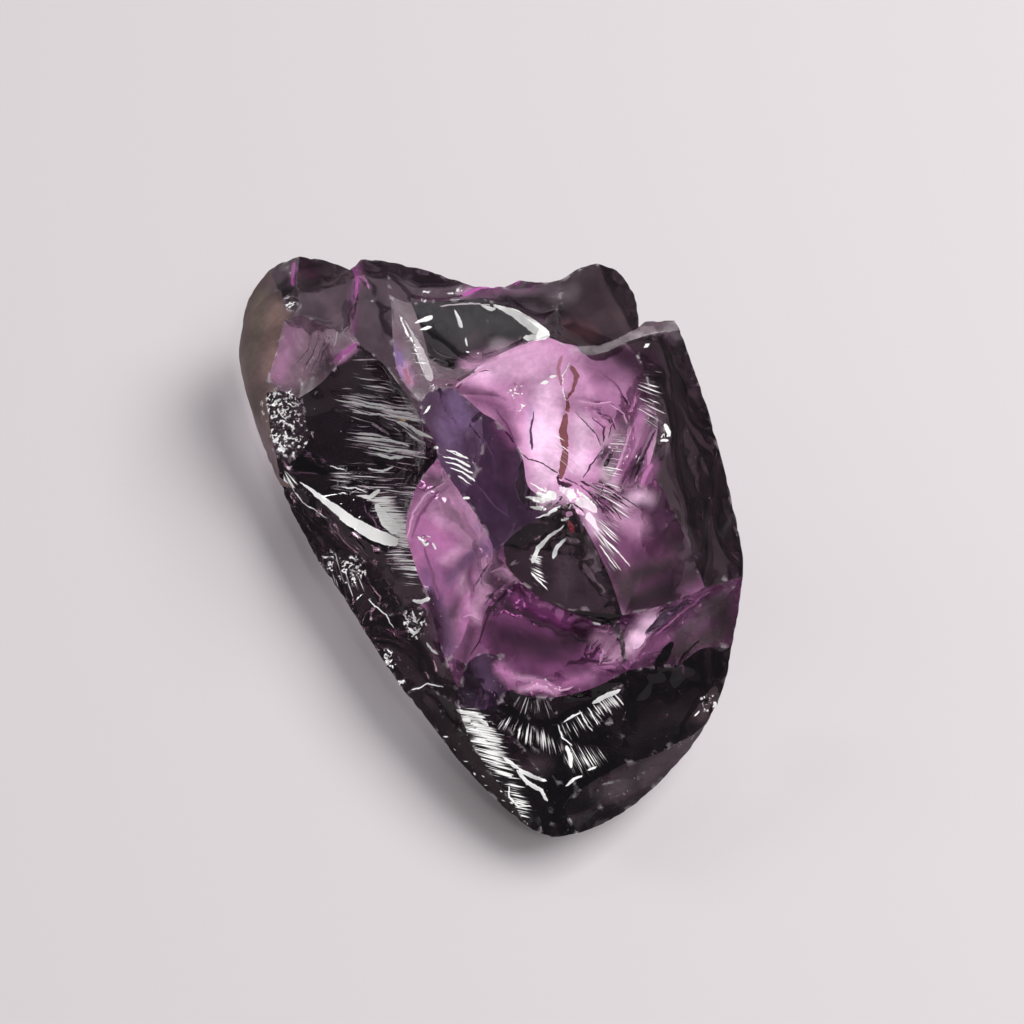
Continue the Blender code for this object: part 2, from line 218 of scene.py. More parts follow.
# %% Scars on the sides and underneath
ROUND_THE_SIDES = {
    # The azimuth in degrees and the height in mm.
    "side by the skin": (157, 4.2),
    "side above the skin": (141, 5.1),
    "side of the cap": (126, 8.6),
    "back side": (107, 10.5),
    "side of the ear": (76, 10.5),
    "side of the corner": (56, 11.1),
    "right side, back": (29, 12.0),
    "right side, front": (-4, 9.5),
    "right side, low": (-24, 7.2),
    "front side, right": (-43, 4.2),
    "front side, tip": (-66, 3.4),
    "front side, left": (-85, 3.6),
    "left side, tip": (-113, 4.2),
    "left side, middle": (-173, 4.4),
}
UNDERNEATH = {
    # The place over the table, in mm.
    "under the skin": (-10.3, 5.3),
    "under the cap": (-8.9, 12.2),
    "under the back": (-2.1, 15.1),
    "under the ear": (6.4, 15.0),
    "under the right back": (12.4, 6.6),
    "under the right": (12.7, -2.4),
    "under the front right": (10.6, -9.6),
    "under the front": (4.2, -12.6),
    "under the left tip": (-4.0, -8.4),
    "under the left": (-7.9, -0.8),
    "resting face": (2.4, 1.7),
}
starts = {name: [seen_at(*place)[1] for place in places] for name, places in SEEN.items()}
starts |= {name: [from_side(*place)[1]] for name, place in ROUND_THE_SIDES.items()}
starts |= {name: [from_below(*place)[1]] for name, place in UNDERNEATH.items()}
SCARS = list(starts)
print("scars in all:", len(SCARS))

# %% Chalk lines along the ridges
CHALK = {
    "skin": [(269, 271), (283, 300), (285, 320), (277, 350), (267, 380), (267, 405), (270, 430),
             (276, 457), (281, 487)],
    "cap": [(300, 257), (297, 288), (300, 315), (330, 328), (352, 322), (358, 303), (357, 286),
            (350, 270)],
    "under the cap": [(285, 320), (300, 315)],
    "pink patch": [(352, 322), (356, 342), (342, 358), (322, 383), (299, 398), (281, 391), (267, 380)],
    "frost": [(299, 398), (306, 420), (306, 445), (291, 461), (276, 457)],
    "scoop": [(356, 342), (380, 361), (402, 388), (420, 417), (436, 443), (438, 459)],
    "rainbow": [(385, 261), (391, 297), (393, 335), (398, 372), (411, 393), (421, 402), (432, 379)],
    "window side": [(391, 297), (400, 320), (416, 355), (432, 379), (424, 338), (412, 303), (391, 297)],
    "window back": [(412, 303), (450, 301), (480, 298), (505, 306), (525, 318), (547, 336),
                    (550, 339)],
    "window front": [(432, 379), (456, 378), (478, 367), (505, 352), (530, 342), (550, 339)],
    "back": [(475, 287), (480, 298)],
    "ear": [(562, 275), (558, 310), (547, 336), (545, 342)],
    "bevel": [(576, 346), (585, 357), (602, 353), (626, 342), (651, 334), (680, 331)],
    "bevel back": [(550, 339), (576, 346), (600, 345), (623, 336), (646, 322)],
    "small facet": [(432, 379), (457, 390), (478, 367)],
    "indigo": [(457, 390), (480, 411), (484, 440), (477, 470), (462, 497)],
    "left plate": [(480, 411), (502, 425), (522, 455), (530, 490), (572, 503)],
    "star up": [(572, 503), (625, 490), (650, 465), (658, 425), (652, 395), (642, 362), (626, 342)],
    "star left": [(572, 503), (520, 530), (497, 553)],
    "star down": [(572, 503), (598, 552), (613, 586), (622, 615)],
    "lower plate": [(650, 465), (682, 530), (705, 588)],
    "plate front": [(438, 459), (450, 478), (462, 497), (481, 523), (497, 553), (515, 577),
                    (540, 599), (565, 610), (585, 612), (604, 613), (622, 615), (641, 611),
                    (662, 606), (683, 598), (705, 588), (725, 581), (743, 577)],
    "wedge": [(565, 610), (592, 622), (612, 627), (622, 615)],
    "petal": [(438, 459), (420, 480), (409, 505), (406, 530), (411, 553), (419, 576), (431, 601),
              (437, 635), (447, 662), (463, 640), (470, 612), (481, 585), (497, 553), (503, 543)],
    "pink strip": [(447, 662), (458, 690), (465, 668), (480, 645), (482, 621), (493, 599),
                   (515, 577)],
    "low indigo": [(480, 645), (501, 660), (507, 690), (495, 712), (458, 706), (458, 690)],
    "crescent": [(507, 690), (525, 696), (550, 698), (580, 693), (605, 683), (627, 670), (623, 646),
                 (612, 627)],
    "magenta": [(627, 670), (647, 667), (680, 664), (700, 648), (731, 648)],
    "streak": [(281, 487), (302, 489), (325, 505), (345, 525), (365, 541), (391, 554), (411, 553)],
    "upper band": [(431, 601), (396, 614), (360, 625)],
    "middle band": [(458, 706), (430, 688), (405, 692)],
    "lower band": [(458, 706), (467, 735), (485, 765), (508, 795), (530, 829)],
    "comb": [(495, 712), (519, 744), (540, 775), (547, 800), (553, 822), (552, 838)],
    "bowl": [(550, 698), (560, 725), (564, 762), (578, 791)],
    "rungs": [(560, 725), (622, 722), (627, 670)],
    "black band": [(622, 722), (625, 763)],
    "grey facet": [(546, 830), (553, 822), (578, 791), (600, 777), (625, 763), (652, 756), (680, 742),
                   (703, 728), (719, 698)],
}
print("chalk lines:", len(CHALK))


# %% Where the chalk is crossed
def pixels_of(points):
    """Where the camera sees each of many points, in pixels across and down."""
    away = np.asarray(points) - np.array(camera.location)
    depth = -away @ np.array(back) * SENSOR / LENS / PICTURE
    across = PICTURE / 2 + away @ np.array(right) / depth
    return np.stack([across, PICTURE / 2 - away @ np.array(up) / depth], axis=1)


def side_of(point, start, end):
    """Positive where a point lies to one side of the line from start to end, else negative."""
    line, way = end - start, point - start
    return line[..., 0] * way[..., 1] - line[..., 1] * way[..., 0]


def crosses_chalk(one, other):
    """For many steps from one pixel to another, whether a step crosses a chalk line."""
    lines = [np.array(pair) for line in CHALK.values() for pair in zip(line, line[1:])]
    found = np.zeros(len(one), bool)
    for start, end in lines:
        apart = side_of(one, start, end) * side_of(other, start, end) < 0
        found |= apart & (side_of(start, one, other) * side_of(end, one, other) < 0)
    return found


print("top of the stone in pixels:", pixels_of([high]).round())

# %% Grow each scar up to its ridges
FLAT = math.radians(2.5)  # An edge that bends less costs nothing to cross.
CLIMB = 60 * MM  # What each further radian of bend costs.
CHALK_COST = 30 * MM


def grow_scars(mesh, seeds):
    """The number of the scar that each face belongs to."""
    shape = bmesh.new()
    shape.from_mesh(mesh)
    shape.faces.ensure_lookup_table()
    shape.edges.ensure_lookup_table()
    middles = [face.calc_center_median() for face in shape.faces]
    pixels = pixels_of(middles)
    pairs = np.array([[face.index for face in edge.link_faces] for edge in shape.edges])
    facing = np.array([face.normal.dot(back) > 0 for face in shape.faces])
    stopped = crosses_chalk(pixels[pairs[:, 0]], pixels[pairs[:, 1]]) & facing[pairs].any(axis=1)
    owner = [-1] * len(middles)
    queue = [(0.0, face, scar) for scar, faces in enumerate(seeds) for face in faces]
    heapq.heapify(queue)
    while queue:
        way, face, scar = heapq.heappop(queue)
        if owner[face] >= 0:
            continue
        owner[face] = scar
        for edge in shape.faces[face].edges:
            ridge = max(0.0, edge.calc_face_angle() - FLAT) * CLIMB
            ridge += CHALK_COST * stopped[edge.index]
            for other in edge.link_faces:
                if owner[other.index] < 0:
                    step = (middles[other.index] - middles[face]).length
                    heapq.heappush(queue, (way + step + ridge, other.index, scar))
    shape.free()
    return owner


owners = grow_scars(stone.data, list(starts.values()))
stone.data.attributes.new("scar", "INT", "FACE").data.foreach_set("value", owners)
print("scars:", len(SCARS), "smallest has", min(owners.count(k) for k in range(len(SCARS))), "faces")

# %% [markdown]
# ## From facets to a fine surface
#
# The ridges are creased, so that Subdivision Surface keeps them sharp while it smooths the hollows
# between them. Triangles are joined to quads first, because quads subdivide more evenly. Two
# levels bring the points 0.2 mm apart, close enough for ripples and small chips.

# %% Crease the ridges and subdivide
LEAST_RIDGE = math.radians(4)
SHARP_ANYWAY = math.radians(30)
NEARLY_FLAT = math.radians(12)
NEARLY_SQUARE = math.radians(50)
LEVELS = 2

shape = bmesh.new()
shape.from_mesh(stone.data)
shape.edges.ensure_lookup_table()
is_ridge = []
for edge in shape.edges:
    one, other = (owners[face.index] for face in edge.link_faces)
    bend = edge.calc_face_angle()
    is_ridge.append(bend > (LEAST_RIDGE if one != other else SHARP_ANYWAY))
shape.free()

bpy.ops.object.mode_set(mode="EDIT")
bpy.ops.mesh.select_mode(type="EDGE")
bpy.ops.mesh.select_all(action="DESELECT")
bpy.ops.object.mode_set(mode="OBJECT")
stone.data.edges.foreach_set("select", is_ridge)
bpy.ops.object.mode_set(mode="EDIT")
bpy.ops.mesh.mark_sharp()
bpy.ops.transform.edge_crease(value=1)
bpy.ops.mesh.select_all(action="SELECT")
bpy.ops.mesh.tris_convert_to_quads(
    face_threshold=NEARLY_FLAT, shape_threshold=NEARLY_SQUARE, sharp=True
)
bpy.ops.object.mode_set(mode="OBJECT")
smooth = stone.modifiers.new("smooth", "SUBSURF")
smooth.levels = smooth.render_levels = LEVELS
smooth.use_limit_surface = False
bpy.ops.object.modifier_apply(modifier=smooth.name)
print("ridge edges:", sum(is_ridge), "faces now:", len(stone.data.polygons))

# %% [markdown]
# ## Strokes, drawn one by one
#
# A fast fracture tears into fine parallel steps, which flash white where they mirror a lamp: the
# combs paint those flashes white, as painted highlights. Single steps, cracks and small facets are
# drawn one by one as streaks, and the white ones are painted highlights too. Both follow lines of
# pixels, like the chalk. A comb also has a pixel that its steps fan out from, how many steps there
# are to one mm, and how thickly they stand. A streak has half its width in pixels and the name of
# its tint. The tables of streaks are kept by kind: white steps painted as highlights, cracks, and
# the facets that have a colour.

# %% Combs
# The white of every comb is painted highlight: the flashes of its steps, painted white.
COMBS = {
    # The line that it follows, its reach in mm, the pixel it fans out from, steps per mm, power.
    "scoop rim": ([(365, 366), (384, 390)], 1.4, (180, 352), 6.0, 0.22),
    "scoop top": ([(350, 402), (412, 416)], 1.3, (180, 366), 6.2, 0.80),
    "scoop shoulder": ([(402, 424), (424, 438)], 0.9, (330, 380), 6.0, 0.72),
    "scoop middle": ([(362, 442), (410, 452)], 1.5, (180, 420), 7.0, 0.74),
    "scoop low": ([(345, 476), (415, 490)], 1.5, (180, 470), 8.5, 0.46),
    "white reach": ([(384, 504), (398, 524), (406, 540)], 1.4, (180, 512), 9.0, 1.30),
    "white teeth": ([(398, 556), (412, 572)], 1.2, (180, 560), 9.0, 0.90),
    "left fan": ([(290, 482)], 1.1, (283, 468), 7.0, 0.8),
    "comb": ([(468, 718), (486, 740), (503, 766)], 1.5, (200, 688), 10.0, 1.20),
    "comb, root": ([(476, 722), (494, 742)], 1.0, (200, 688), 10.0, 1.6),
    "ladder": ([(512, 782), (522, 812)], 0.9, (200, 735), 10.0, 0.70),
    "lashes": ([(506, 726), (528, 734), (550, 742), (560, 748)], 0.9, (535, 672), 9.0, 0.72),
    "arches": ([(520, 705), (555, 712)], 0.9, (535, 672), 8.0, 0.35),
    "upper rungs": ([(568, 730), (596, 714)], 1.0, (495, 580), 8.0, 0.52),
    "upper rungs, end": ([(602, 707), (614, 701)], 0.9, (495, 560), 8.5, 1.15),
    "lower rungs": ([(572, 756), (592, 762)], 1.3, (495, 600), 10.0, 0.66),
    "indigo": ([(448, 455), (470, 478)], 1.0, (330, 400), 8.0, 0.35),
    "plate edge": ([(650, 378), (652, 418)], 1.2, (540, 352), 7.5, 0.52),
    "plate hatch": ([(620, 442), (608, 488)], 1.0, (500, 440), 9.0, 0.50),
    "star, right": ([(594, 490), (624, 512)], 0.9, (556, 466), 9.0, 0.55),
    "lower plate": ([(604, 526), (616, 558)], 1.2, (560, 490), 10.0, 0.60),
    "front plate": ([(536, 560), (541, 582)], 0.6, (470, 540), 9.0, 0.8),
    "pink patch": ([(330, 338), (346, 336)], 0.8, (352, 250), 7.0, 0.40),
    "window strip": ([(410, 336), (428, 374)], 0.7, (300, 340), 8.0, 0.45),
    "left edge": ([(335, 565), (352, 585)], 1.2, (300, 440), 8.0, 0.35),
    "veil": ([(556, 442), (572, 466)], 0.7, (500, 400), 9.0, 0.50),
}
print("combs:", len(COMBS))

# %% White steps on the left and below, painted as highlights
GLINT_STEPS_BELOW = {
    # The line of a step, and half its width in pixels, or that at its start and at its end.
    "scoop 1": ([(348, 401), (380, 408), (413, 414)], 1.3),
    "scoop 2": ([(353, 412), (385, 415), (417, 419)], 0.9),
    "scoop 3": ([(398, 421), (412, 427), (423, 436)], 1.5),
    "scoop 4": ([(366, 438), (390, 440), (411, 446)], 1.2),
    "scoop 5": ([(368, 447), (388, 451), (409, 450)], 1.1),
    "scoop 6": ([(376, 454), (390, 458), (405, 457)], 1.5),
    "scoop 7": ([(368, 469), (382, 471), (393, 467)], 1.0),
    "scoop 8": ([(342, 488), (356, 488), (366, 492)], 0.8),
    "scoop 9": ([(330, 466), (345, 470)], 0.7),
    "scoop patch": ([(357, 496), (370, 498), (380, 490)], (1.0, 3.4)),
    "spear": ([(300, 482), (325, 501), (350, 521), (374, 535), (398, 543)], (1.2, 8.5)),
    "white reach": ([(376, 505), (386, 520), (398, 532)], (3.5, 8.0)),
    "left fan line": ([(289, 482), (302, 502), (328, 518)], 0.6),
    "long hair": ([(368, 600), (385, 614), (394, 628)], 0.7),
    "bar": ([(413, 601), (421, 602), (430, 598)], 2.2),
    "grains 1": ([(413, 610), (415, 622)], 1.1),
    "grains 2": ([(410, 628), (414, 634), (421, 628)], 1.4),
    "hook": ([(411, 690), (420, 688), (428, 684), (444, 687)], 0.8),
    "edge crumple": ([(427, 643), (432, 650), (438, 654)], 1.4),
    "comb": ([(457, 710), (476, 716), (488, 726)], 2.2),
    "long step 1": ([(503, 757), (522, 772), (546, 781)], 2.0),
    "long step 2": ([(517, 770), (528, 783), (541, 790), (547, 801)], 2.2),
    "ladder rail": ([(509, 786), (509, 797), (518, 806), (530, 806)], 1.0),
    "upper ledge": ([(593, 703), (608, 695), (620, 690)], 2.4),
    "left ledge": ([(564, 722), (573, 716), (582, 712)], 1.1),
    "rung 1": ([(558, 724), (562, 737), (572, 746)], 0.8),
    "rung 2": ([(580, 711), (586, 722), (592, 731)], 0.9),
    "rung 3": ([(588, 707), (598, 725)], 0.8),
    "bowl white": ([(566, 746), (570, 755), (571, 768)], 2.2),
    "bowl beads": ([(566, 786), (574, 779), (582, 776)], 1.5),
    "bowl beads, right": ([(588, 771), (596, 767)], 1.2),
    "petal glint 1": ([(418, 537), (423, 541), (425, 545)], 1.4),
    "petal glint 2": ([(433, 543), (436, 550)], 1.1),
    "wedge glint": ([(593, 622), (600, 624)], 1.4),
    "indigo glint": ([(425, 413), (430, 406)], 1.4),
    "ridge glint": ([(434, 447), (438, 448)], 1.5),
    "brown chip": ([(695, 716), (699, 711)], 1.0),
    "indigo step 1": ([(446, 450), (456, 452), (468, 459)], (0.6, 1.3)),
    "indigo step 2": ([(443, 456), (456, 459), (471, 467)], (0.6, 1.5)),
    "indigo step 3": ([(445, 462), (458, 465), (473, 474)], (0.6, 1.4)),
}
print("white steps on the left and below:", len(GLINT_STEPS_BELOW))

# %% White steps on the bright face and above it, painted as highlights
GLINT_STEPS_ABOVE = {
    # The line of a step, and half its width in pixels, or that at its start and at its end.
    "window bar": ([(415, 323), (433, 317)], (1.2, 2.8)),
    "window bar, low": ([(420, 330), (431, 327)], (0.8, 2.2)),
    "window glint": ([(455, 310), (459, 319), (462, 328)], (1.2, 2.8)),
    "window dots": ([(466, 338), (467, 346)], 1.0),
    "window white": ([(494, 305), (514, 313), (532, 325), (548, 338)], (2.0, 8.0)),
    "window foot": ([(524, 338), (546, 338)], 3.2),
    "window tip": ([(482, 305), (492, 309), (498, 308)], 2.0),
    "strip edge": ([(400, 318), (408, 334), (415, 347)], 1.8),
    "plate glint 1": ([(550, 377), (556, 376)], 1.7),
    "plate glint 2": ([(541, 384), (548, 382)], (1.0, 2.8)),
    "veil line": ([(570, 363), (563, 376), (563, 392), (567, 404)], 0.7),
    "star 1": ([(529, 483), (545, 491), (560, 495)], (0.6, 1.6)),
    "star 2": ([(536, 493), (546, 497)], 2.0),
    "star 3": ([(536, 518), (548, 514), (560, 506)], (0.5, 2.4)),
    "star 4": ([(561, 521), (568, 518)], 2.0),
    "arc": ([(564, 526), (549, 537), (538, 548), (532, 563)], (1.2, 3.0)),
    "inner arc": ([(566, 539), (557, 547), (553, 558)], (1.4, 2.8)),
    "arc tail": ([(531, 573), (539, 581), (548, 590)], (1.4, 0.5)),
    "triangle": ([(645, 347), (649, 344)], 2.0),
    "crystal": ([(664, 424), (670, 436)], 2.6),
    "crystal, low": ([(660, 441), (668, 440)], 1.5),
    "left plate glint": ([(463, 498), (470, 498)], 1.4),
    "lower plate line 1": ([(600, 545), (617, 569)], 0.6),
    "lower plate line 2": ([(612, 545), (630, 566)], 0.6),
    "star shard 1": ([(526, 497), (540, 500), (556, 495)], (1.0, 5.5)),
    "star shard 2": ([(530, 507), (546, 509)], (0.8, 3.2)),
    "star facet 1": ([(577, 491), (588, 499), (596, 507)], (1.0, 2.2)),
    "strip texture 1": ([(407, 332), (416, 352), (424, 374)], 0.6),
    "strip texture 2": ([(414, 338), (424, 360), (431, 378)], 0.7),
    "side glint": ([(399, 316), (406, 330), (413, 344)], (0.6, 1.6)),
    "indigo step 4": ([(450, 468), (462, 472), (475, 481)], (0.6, 1.3)),
    "indigo step 5": ([(458, 476), (470, 484)], 0.8),
}
print("white steps above:", len(GLINT_STEPS_ABOVE))

# %% Cracks, and the painted shade in the gaps between facets
# The cracks are the stone's own and are drawn dark. The dark of the gaps between facets is painted shade.
CRACKS = {
    # The line of a crack, and half its width in pixels, or that at its start and at its end.
    "crack, left": ([(520, 452), (528, 459), (543, 463), (565, 478), (580, 484)], 0.8),
    "crack, left, end": ([(580, 484), (592, 494), (606, 507)], 0.7),
    "crack, right": ([(575, 412), (586, 423), (596, 434), (601, 446)], 0.5),
    "crack, right, low": ([(600, 452), (591, 464), (583, 477)], 0.8),
    "crack, star 1": ([(580, 480), (600, 490), (630, 508)], (1.6, 0.6)),
    "crack, star 2": ([(588, 490), (600, 506), (612, 524)], (1.4, 0.5)),
    "crack, star 3": ([(598, 480), (615, 492), (642, 510)], (1.2, 0.5)),
    "crack, star 4": ([(566, 508), (578, 516), (580, 530)], (2.0, 1.0)),
    "crack, star 5": ([(556, 506), (566, 516)], (1.0, 2.0)),
    "plate fork": ([(458, 381), (475, 372), (489, 370)], 0.8),
    "loop": ([(600, 413), (612, 424), (608, 438)], 0.5),
    "star gap 1": ([(552, 508), (562, 498), (568, 488)], 1.0),
    "star gap 2": ([(566, 498), (580, 508), (586, 516)], 0.8),
    "star gap 3": ([(540, 497), (552, 496)], 0.8),
    "strip line": ([(515, 581), (500, 600), (488, 615), (480, 640), (470, 656)], 1.1),
    "crescent line": ([(470, 668), (484, 690), (480, 705)], 0.8),
    "magenta line": ([(643, 634), (660, 612), (690, 600)], 0.8),
    "pink patch line 1": ([(318, 336), (313, 352), (303, 370)], 0.6),
    "pink patch line 2": ([(324, 340), (318, 356), (310, 372)], 0.6),
    "pink patch line 3": ([(312, 332), (307, 350), (298, 362)], 0.5),
    "pink patch line 4": ([(330, 342), (322, 352), (318, 364)], 0.6),
    "hatch gap": ([(612, 452), (604, 466)], 2.0),
    "crack, star 6": ([(592, 486), (608, 500), (622, 520)], 0.9),
    "crack, star 7": ([(590, 482), (608, 486), (622, 494)], 0.7),
    "crack, star 8": ([(586, 494), (604, 514)], 0.7),
    "crack, star 9": ([(604, 484), (598, 498), (606, 516)], 0.7),
    "star gap 4": ([(560, 514), (566, 526)], (1.0, 2.6)),
    "strip gap": ([(509, 579), (494, 592), (483, 606)], 0.7),
}
print("cracks:", len(CRACKS))

# %% Veils, and the lit facets, rims and glints painted on the bright face and above it
# The veils are the stone's own rust-brown stain. The other streaks are mostly painted light and shade:
# bright rims and lit facets, glints, rainbow sparks and a sheen on the window as painted light, and dark
# folds and gaps as painted shade.
FACETS_ABOVE = {
    # The line of a streak, half its width in pixels, or that at both ends, and its tint.
    "scoop 10": ([(372, 424), (384, 430), (390, 434)], 1.4, "ash"),
    "strip": ([(404, 320), (420, 352), (431, 381)], (0.8, 6.0), "haze"),
    "star 5": ([(566, 537), (571, 541), (580, 542)], 2.6, "ash"),
    "plate dark line": ([(534, 412), (530, 432), (532, 450)], (0.8, 1.6), "indigo"),
    "veil, top": ([(571, 366), (577, 376), (573, 390), (567, 400)], (3.0, 1.5), "rust"),
    "veil, neck": ([(567, 398), (568, 408), (566, 420)], (1.5, 3.0), "rust"),
    "veil, lens": ([(566, 414), (563, 432), (566, 450)], (3.4, 4.6), "rust"),
    "veil, foot": ([(566, 448), (564, 462), (560, 480)], (4.4, 3.0), "rust"),
    "veil, base": ([(558, 476), (562, 486), (572, 486)], 3.4, "plum"),
    "rim of the plate": ([(455, 387), (480, 370), (508, 357), (545, 349)], 1.8, "petal light"),
    "red spot": ([(569, 521), (573, 533)], (1.6, 3.4), "red"),
    "star facet 2": ([(560, 489), (568, 492), (574, 498)], (4.0, 7.0), "pale"),
    "star facet 3": ([(576, 500), (586, 503), (597, 512)], (7.0, 3.0), "pale"),
    "star facet 4": ([(586, 514), (592, 520), (598, 531)], (5.5, 1.0), "pale"),
    "star facet 5": ([(543, 509), (552, 503)], 2.0, "ash"),
    "star facet 6": ([(566, 516), (572, 512)], 3.0, "petal light"),
    "cap glint": ([(295, 262), (294, 272), (293, 286)], (2.0, 3.0), "hot magenta"),
    "saddle line": ([(352, 264), (357, 282), (356, 300)], 1.4, "hot magenta"),
    "saddle line, low": ([(356, 300), (350, 316), (352, 332)], 1.0, "mauve"),
    "patch lip": ([(358, 343), (346, 352), (338, 359)], (1.5, 3.4), "hot magenta"),
    "back line": ([(462, 297), (472, 291), (482, 288), (500, 287)], (2.0, 0.8), "hot magenta"),
    "dark fold": ([(412, 298), (440, 300), (466, 296)], 1.4, "plum"),
    "ray 1": ([(650, 424), (638, 452), (622, 486)], 2.4, "violet"),
    "ray 2": ([(656, 430), (645, 452), (634, 480)], 1.4, "plum"),
    "ray 3": ([(632, 428), (622, 455), (612, 480)], 1.0, "petal light"),
    "lobe": ([(652, 464), (645, 474), (642, 486)], 2.4, "orchid"),
    "veil, left": ([(562, 356), (558, 368), (562, 386)], 2.0, "rose"),
    "star shard 3": ([(566, 494), (580, 502), (588, 505)], 0.6, "magenta"),
    "star shard 4": ([(558, 497), (568, 500)], 0.6, "magenta"),
    "star rays 1": ([(590, 486), (612, 498), (626, 506)], 0.7, "petal light"),
    "star rays 2": ([(596, 484), (614, 492), (622, 498)], 0.7, "petal light"),
    "star rays 3": ([(596, 500), (608, 510), (618, 522)], 0.7, "petal light"),
    "plate fold 1": ([(596, 412), (610, 418), (616, 430)], 0.9, "magenta"),
    "plate fold 2": ([(592, 418), (604, 428), (604, 442)], 0.9, "magenta"),
    "plate fold 3": ([(610, 404), (624, 414), (628, 424)], 0.8, "petal light"),
    "plate fold 4": ([(580, 400), (596, 404), (612, 402)], 0.8, "petal light"),
    "scoop blue": ([(371, 403), (378, 405)], 0.9, "spark blue"),
    "scoop orange": ([(398, 417), (406, 421)], 0.9, "spark orange"),
    "rainbow blue": ([(399, 354), (402, 367)], 2.0, "lilac"),
    "rainbow rose": ([(404, 369), (410, 384)], 2.2, "rose"),
    "star facet 7": ([(576, 510), (584, 515)], (3.0, 1.5), "white pink"),
    "star facet 8": ([(560, 501), (566, 505)], 2.0, "petal light"),
    "star gap 5": ([(596, 494), (606, 500)], 1.4, "plum"),
    "star gap 6": ([(604, 506), (614, 512)], 1.4, "plum"),
    "star gap 7": ([(610, 492), (622, 500)], 1.2, "plum"),
    "plate ray": ([(600, 372), (616, 384), (628, 404)], (0.6, 1.4), "magenta"),
    "plate ray, low": ([(494, 408), (506, 424), (514, 440)], (0.6, 1.6), "magenta"),
    "window sheen": ([(440, 306), (470, 303), (498, 306)], 0.8, "haze"),
    "saddle second": ([(364, 276), (369, 289)], (0.5, 1.2), "orchid"),
    "bump": ([(514, 285), (520, 281)], 0.9, "hot magenta"),
    "flash, foot": ([(296, 266), (296, 276), (297, 286)], (3.4, 1.2), "magenta"),
    "left plate line 1": ([(470, 424), (484, 440), (494, 458)], 0.5, "indigo"),
}
print("coloured streaks above:", len(FACETS_ABOVE))

# %% Lit facets, bright rims and dark notches lower down, painted as light and shade
# These streaks are painted light and shade: bright rims, lenses and lit facets as painted light, dark
# notches, wedges and the fissure as painted shade.
FACETS_BELOW = {
    # The line of a streak, half its width in pixels, or that at both ends, and its tint.
    "petal rim": ([(446, 482), (426, 494), (413, 513), (407, 538)], 1.1, "petal light"),
    "petal band": ([(450, 486), (432, 498), (419, 516), (412, 538)], 1.6, "violet"),
    "strip light 1": ([(490, 572), (502, 568), (512, 576)], (0.8, 2.4), "petal light"),
    "strip light 2": ([(463, 617), (472, 615), (480, 619)], (0.8, 1.5), "petal light"),
    "fish": ([(520, 690), (536, 682), (548, 684), (559, 693)], (1.0, 4.2), "plate pink"),
    "lens light": ([(600, 662), (606, 648), (616, 634)], (2.0, 4.0), "petal light"),
    "pit": ([(590, 656), (598, 648), (604, 655)], 2.2, "magenta"),
    "fissure": ([(615, 626), (622, 642), (625, 662)], (4.0, 1.0), "smoke"),
    "magenta light": ([(634, 648), (644, 630), (655, 614)], (5.5, 4.5), "white pink"),
    "magenta lens": ([(645, 633), (660, 618), (690, 600)], 3.4, "indigo"),
    "magenta rim": ([(655, 636), (680, 614), (704, 594)], 1.2, "orchid"),
    "front wedge": ([(582, 566), (592, 580), (602, 590)], (2.5, 1.0), "smoke"),
    "strip line 2": ([(492, 560), (482, 574), (474, 590)], 0.7, "plum"),
    "petal sweep": ([(424, 548), (432, 572), (438, 600)], 1.6, "violet"),
    "notch": ([(672, 642), (664, 656), (656, 668)], (4.0, 6.0), "black"),
    "notch, right": ([(700, 640), (684, 654), (676, 668)], 1.2, "black"),
    "fish tail": ([(556, 692), (566, 690), (574, 686)], (2.0, 0.5), "petal light"),
    "fish light": ([(524, 688), (540, 683), (552, 688)], (0.6, 1.5), "white pink"),
    "fish tip": ([(493, 664), (503, 670), (514, 678)], (0.6, 2.2), "orchid"),
    "lens ring": ([(590, 656), (592, 646), (599, 639)], 0.5, "plum"),
    "lens rim": ([(598, 664), (612, 662), (621, 654), (622, 642)], 0.9, "petal light"),
    "lens foot": ([(590, 664), (604, 670), (618, 668)], 0.6, "magenta"),
    "left plate line 2": ([(478, 486), (494, 505), (508, 516)], 0.5, "indigo"),
}
print("coloured streaks below:", len(FACETS_BELOW))

# %% Chips along the rim, with painted glints, and all the streaks together
BEADS = 22
RIM_FROM, RIM_TO = (402, 702), (526, 820)
STAGGER = 1.3
LEAST_LENGTH = 0.5
LEAST_WIDTH, WIDER = 0.35, 0.25


def bead(number):
    """The line of a chip on the lower left rim, painted as a glint, and half its width, in pixels.

    Remainders stand in for chance, so that neighbours differ and every run gives the same.
    """
    inward, length = (number * 7 % 5 - 2) * STAGGER, LEAST_LENGTH + number * 5 % 4
    x, y = (start + (end - start) * number / BEADS for start, end in zip(RIM_FROM, RIM_TO))
    x, y = x + inward, y - inward
    line = [(x, y), (x + length, y + length * (number * 3 % 4 - 1) / 2)]
    return line, LEAST_WIDTH + WIDER * (number * 2 % 3)


RIM_GLINTS = {f"bead {number + 1}": bead(number) for number in range(BEADS)}
painted_glints = GLINT_STEPS_BELOW | GLINT_STEPS_ABOVE | RIM_GLINTS
# The white of all these streaks is painted highlight.
STREAKS = {name: (*row, "white") for name, row in painted_glints.items()}
STREAKS |= {name: (*row, "crack") for name, row in CRACKS.items()}
STREAKS |= FACETS_ABOVE | FACETS_BELOW
print("streaks:", len(STREAKS))

# %% Measure places against drawn lines
GRAZING = 0.02  # A face nearer edge-on to the camera than this counts as turned away.


def across_and_along(spots, start, end):
    """How far pixels lie to the side of a line, and how far along it from its start, in mm."""
    line = np.subtract(end, start)
    long = np.linalg.norm(line)
    return side_of(spots, start, end) / long / PIXELS_PER_MM, (spots - start) @ line / long / PIXELS_PER_MM


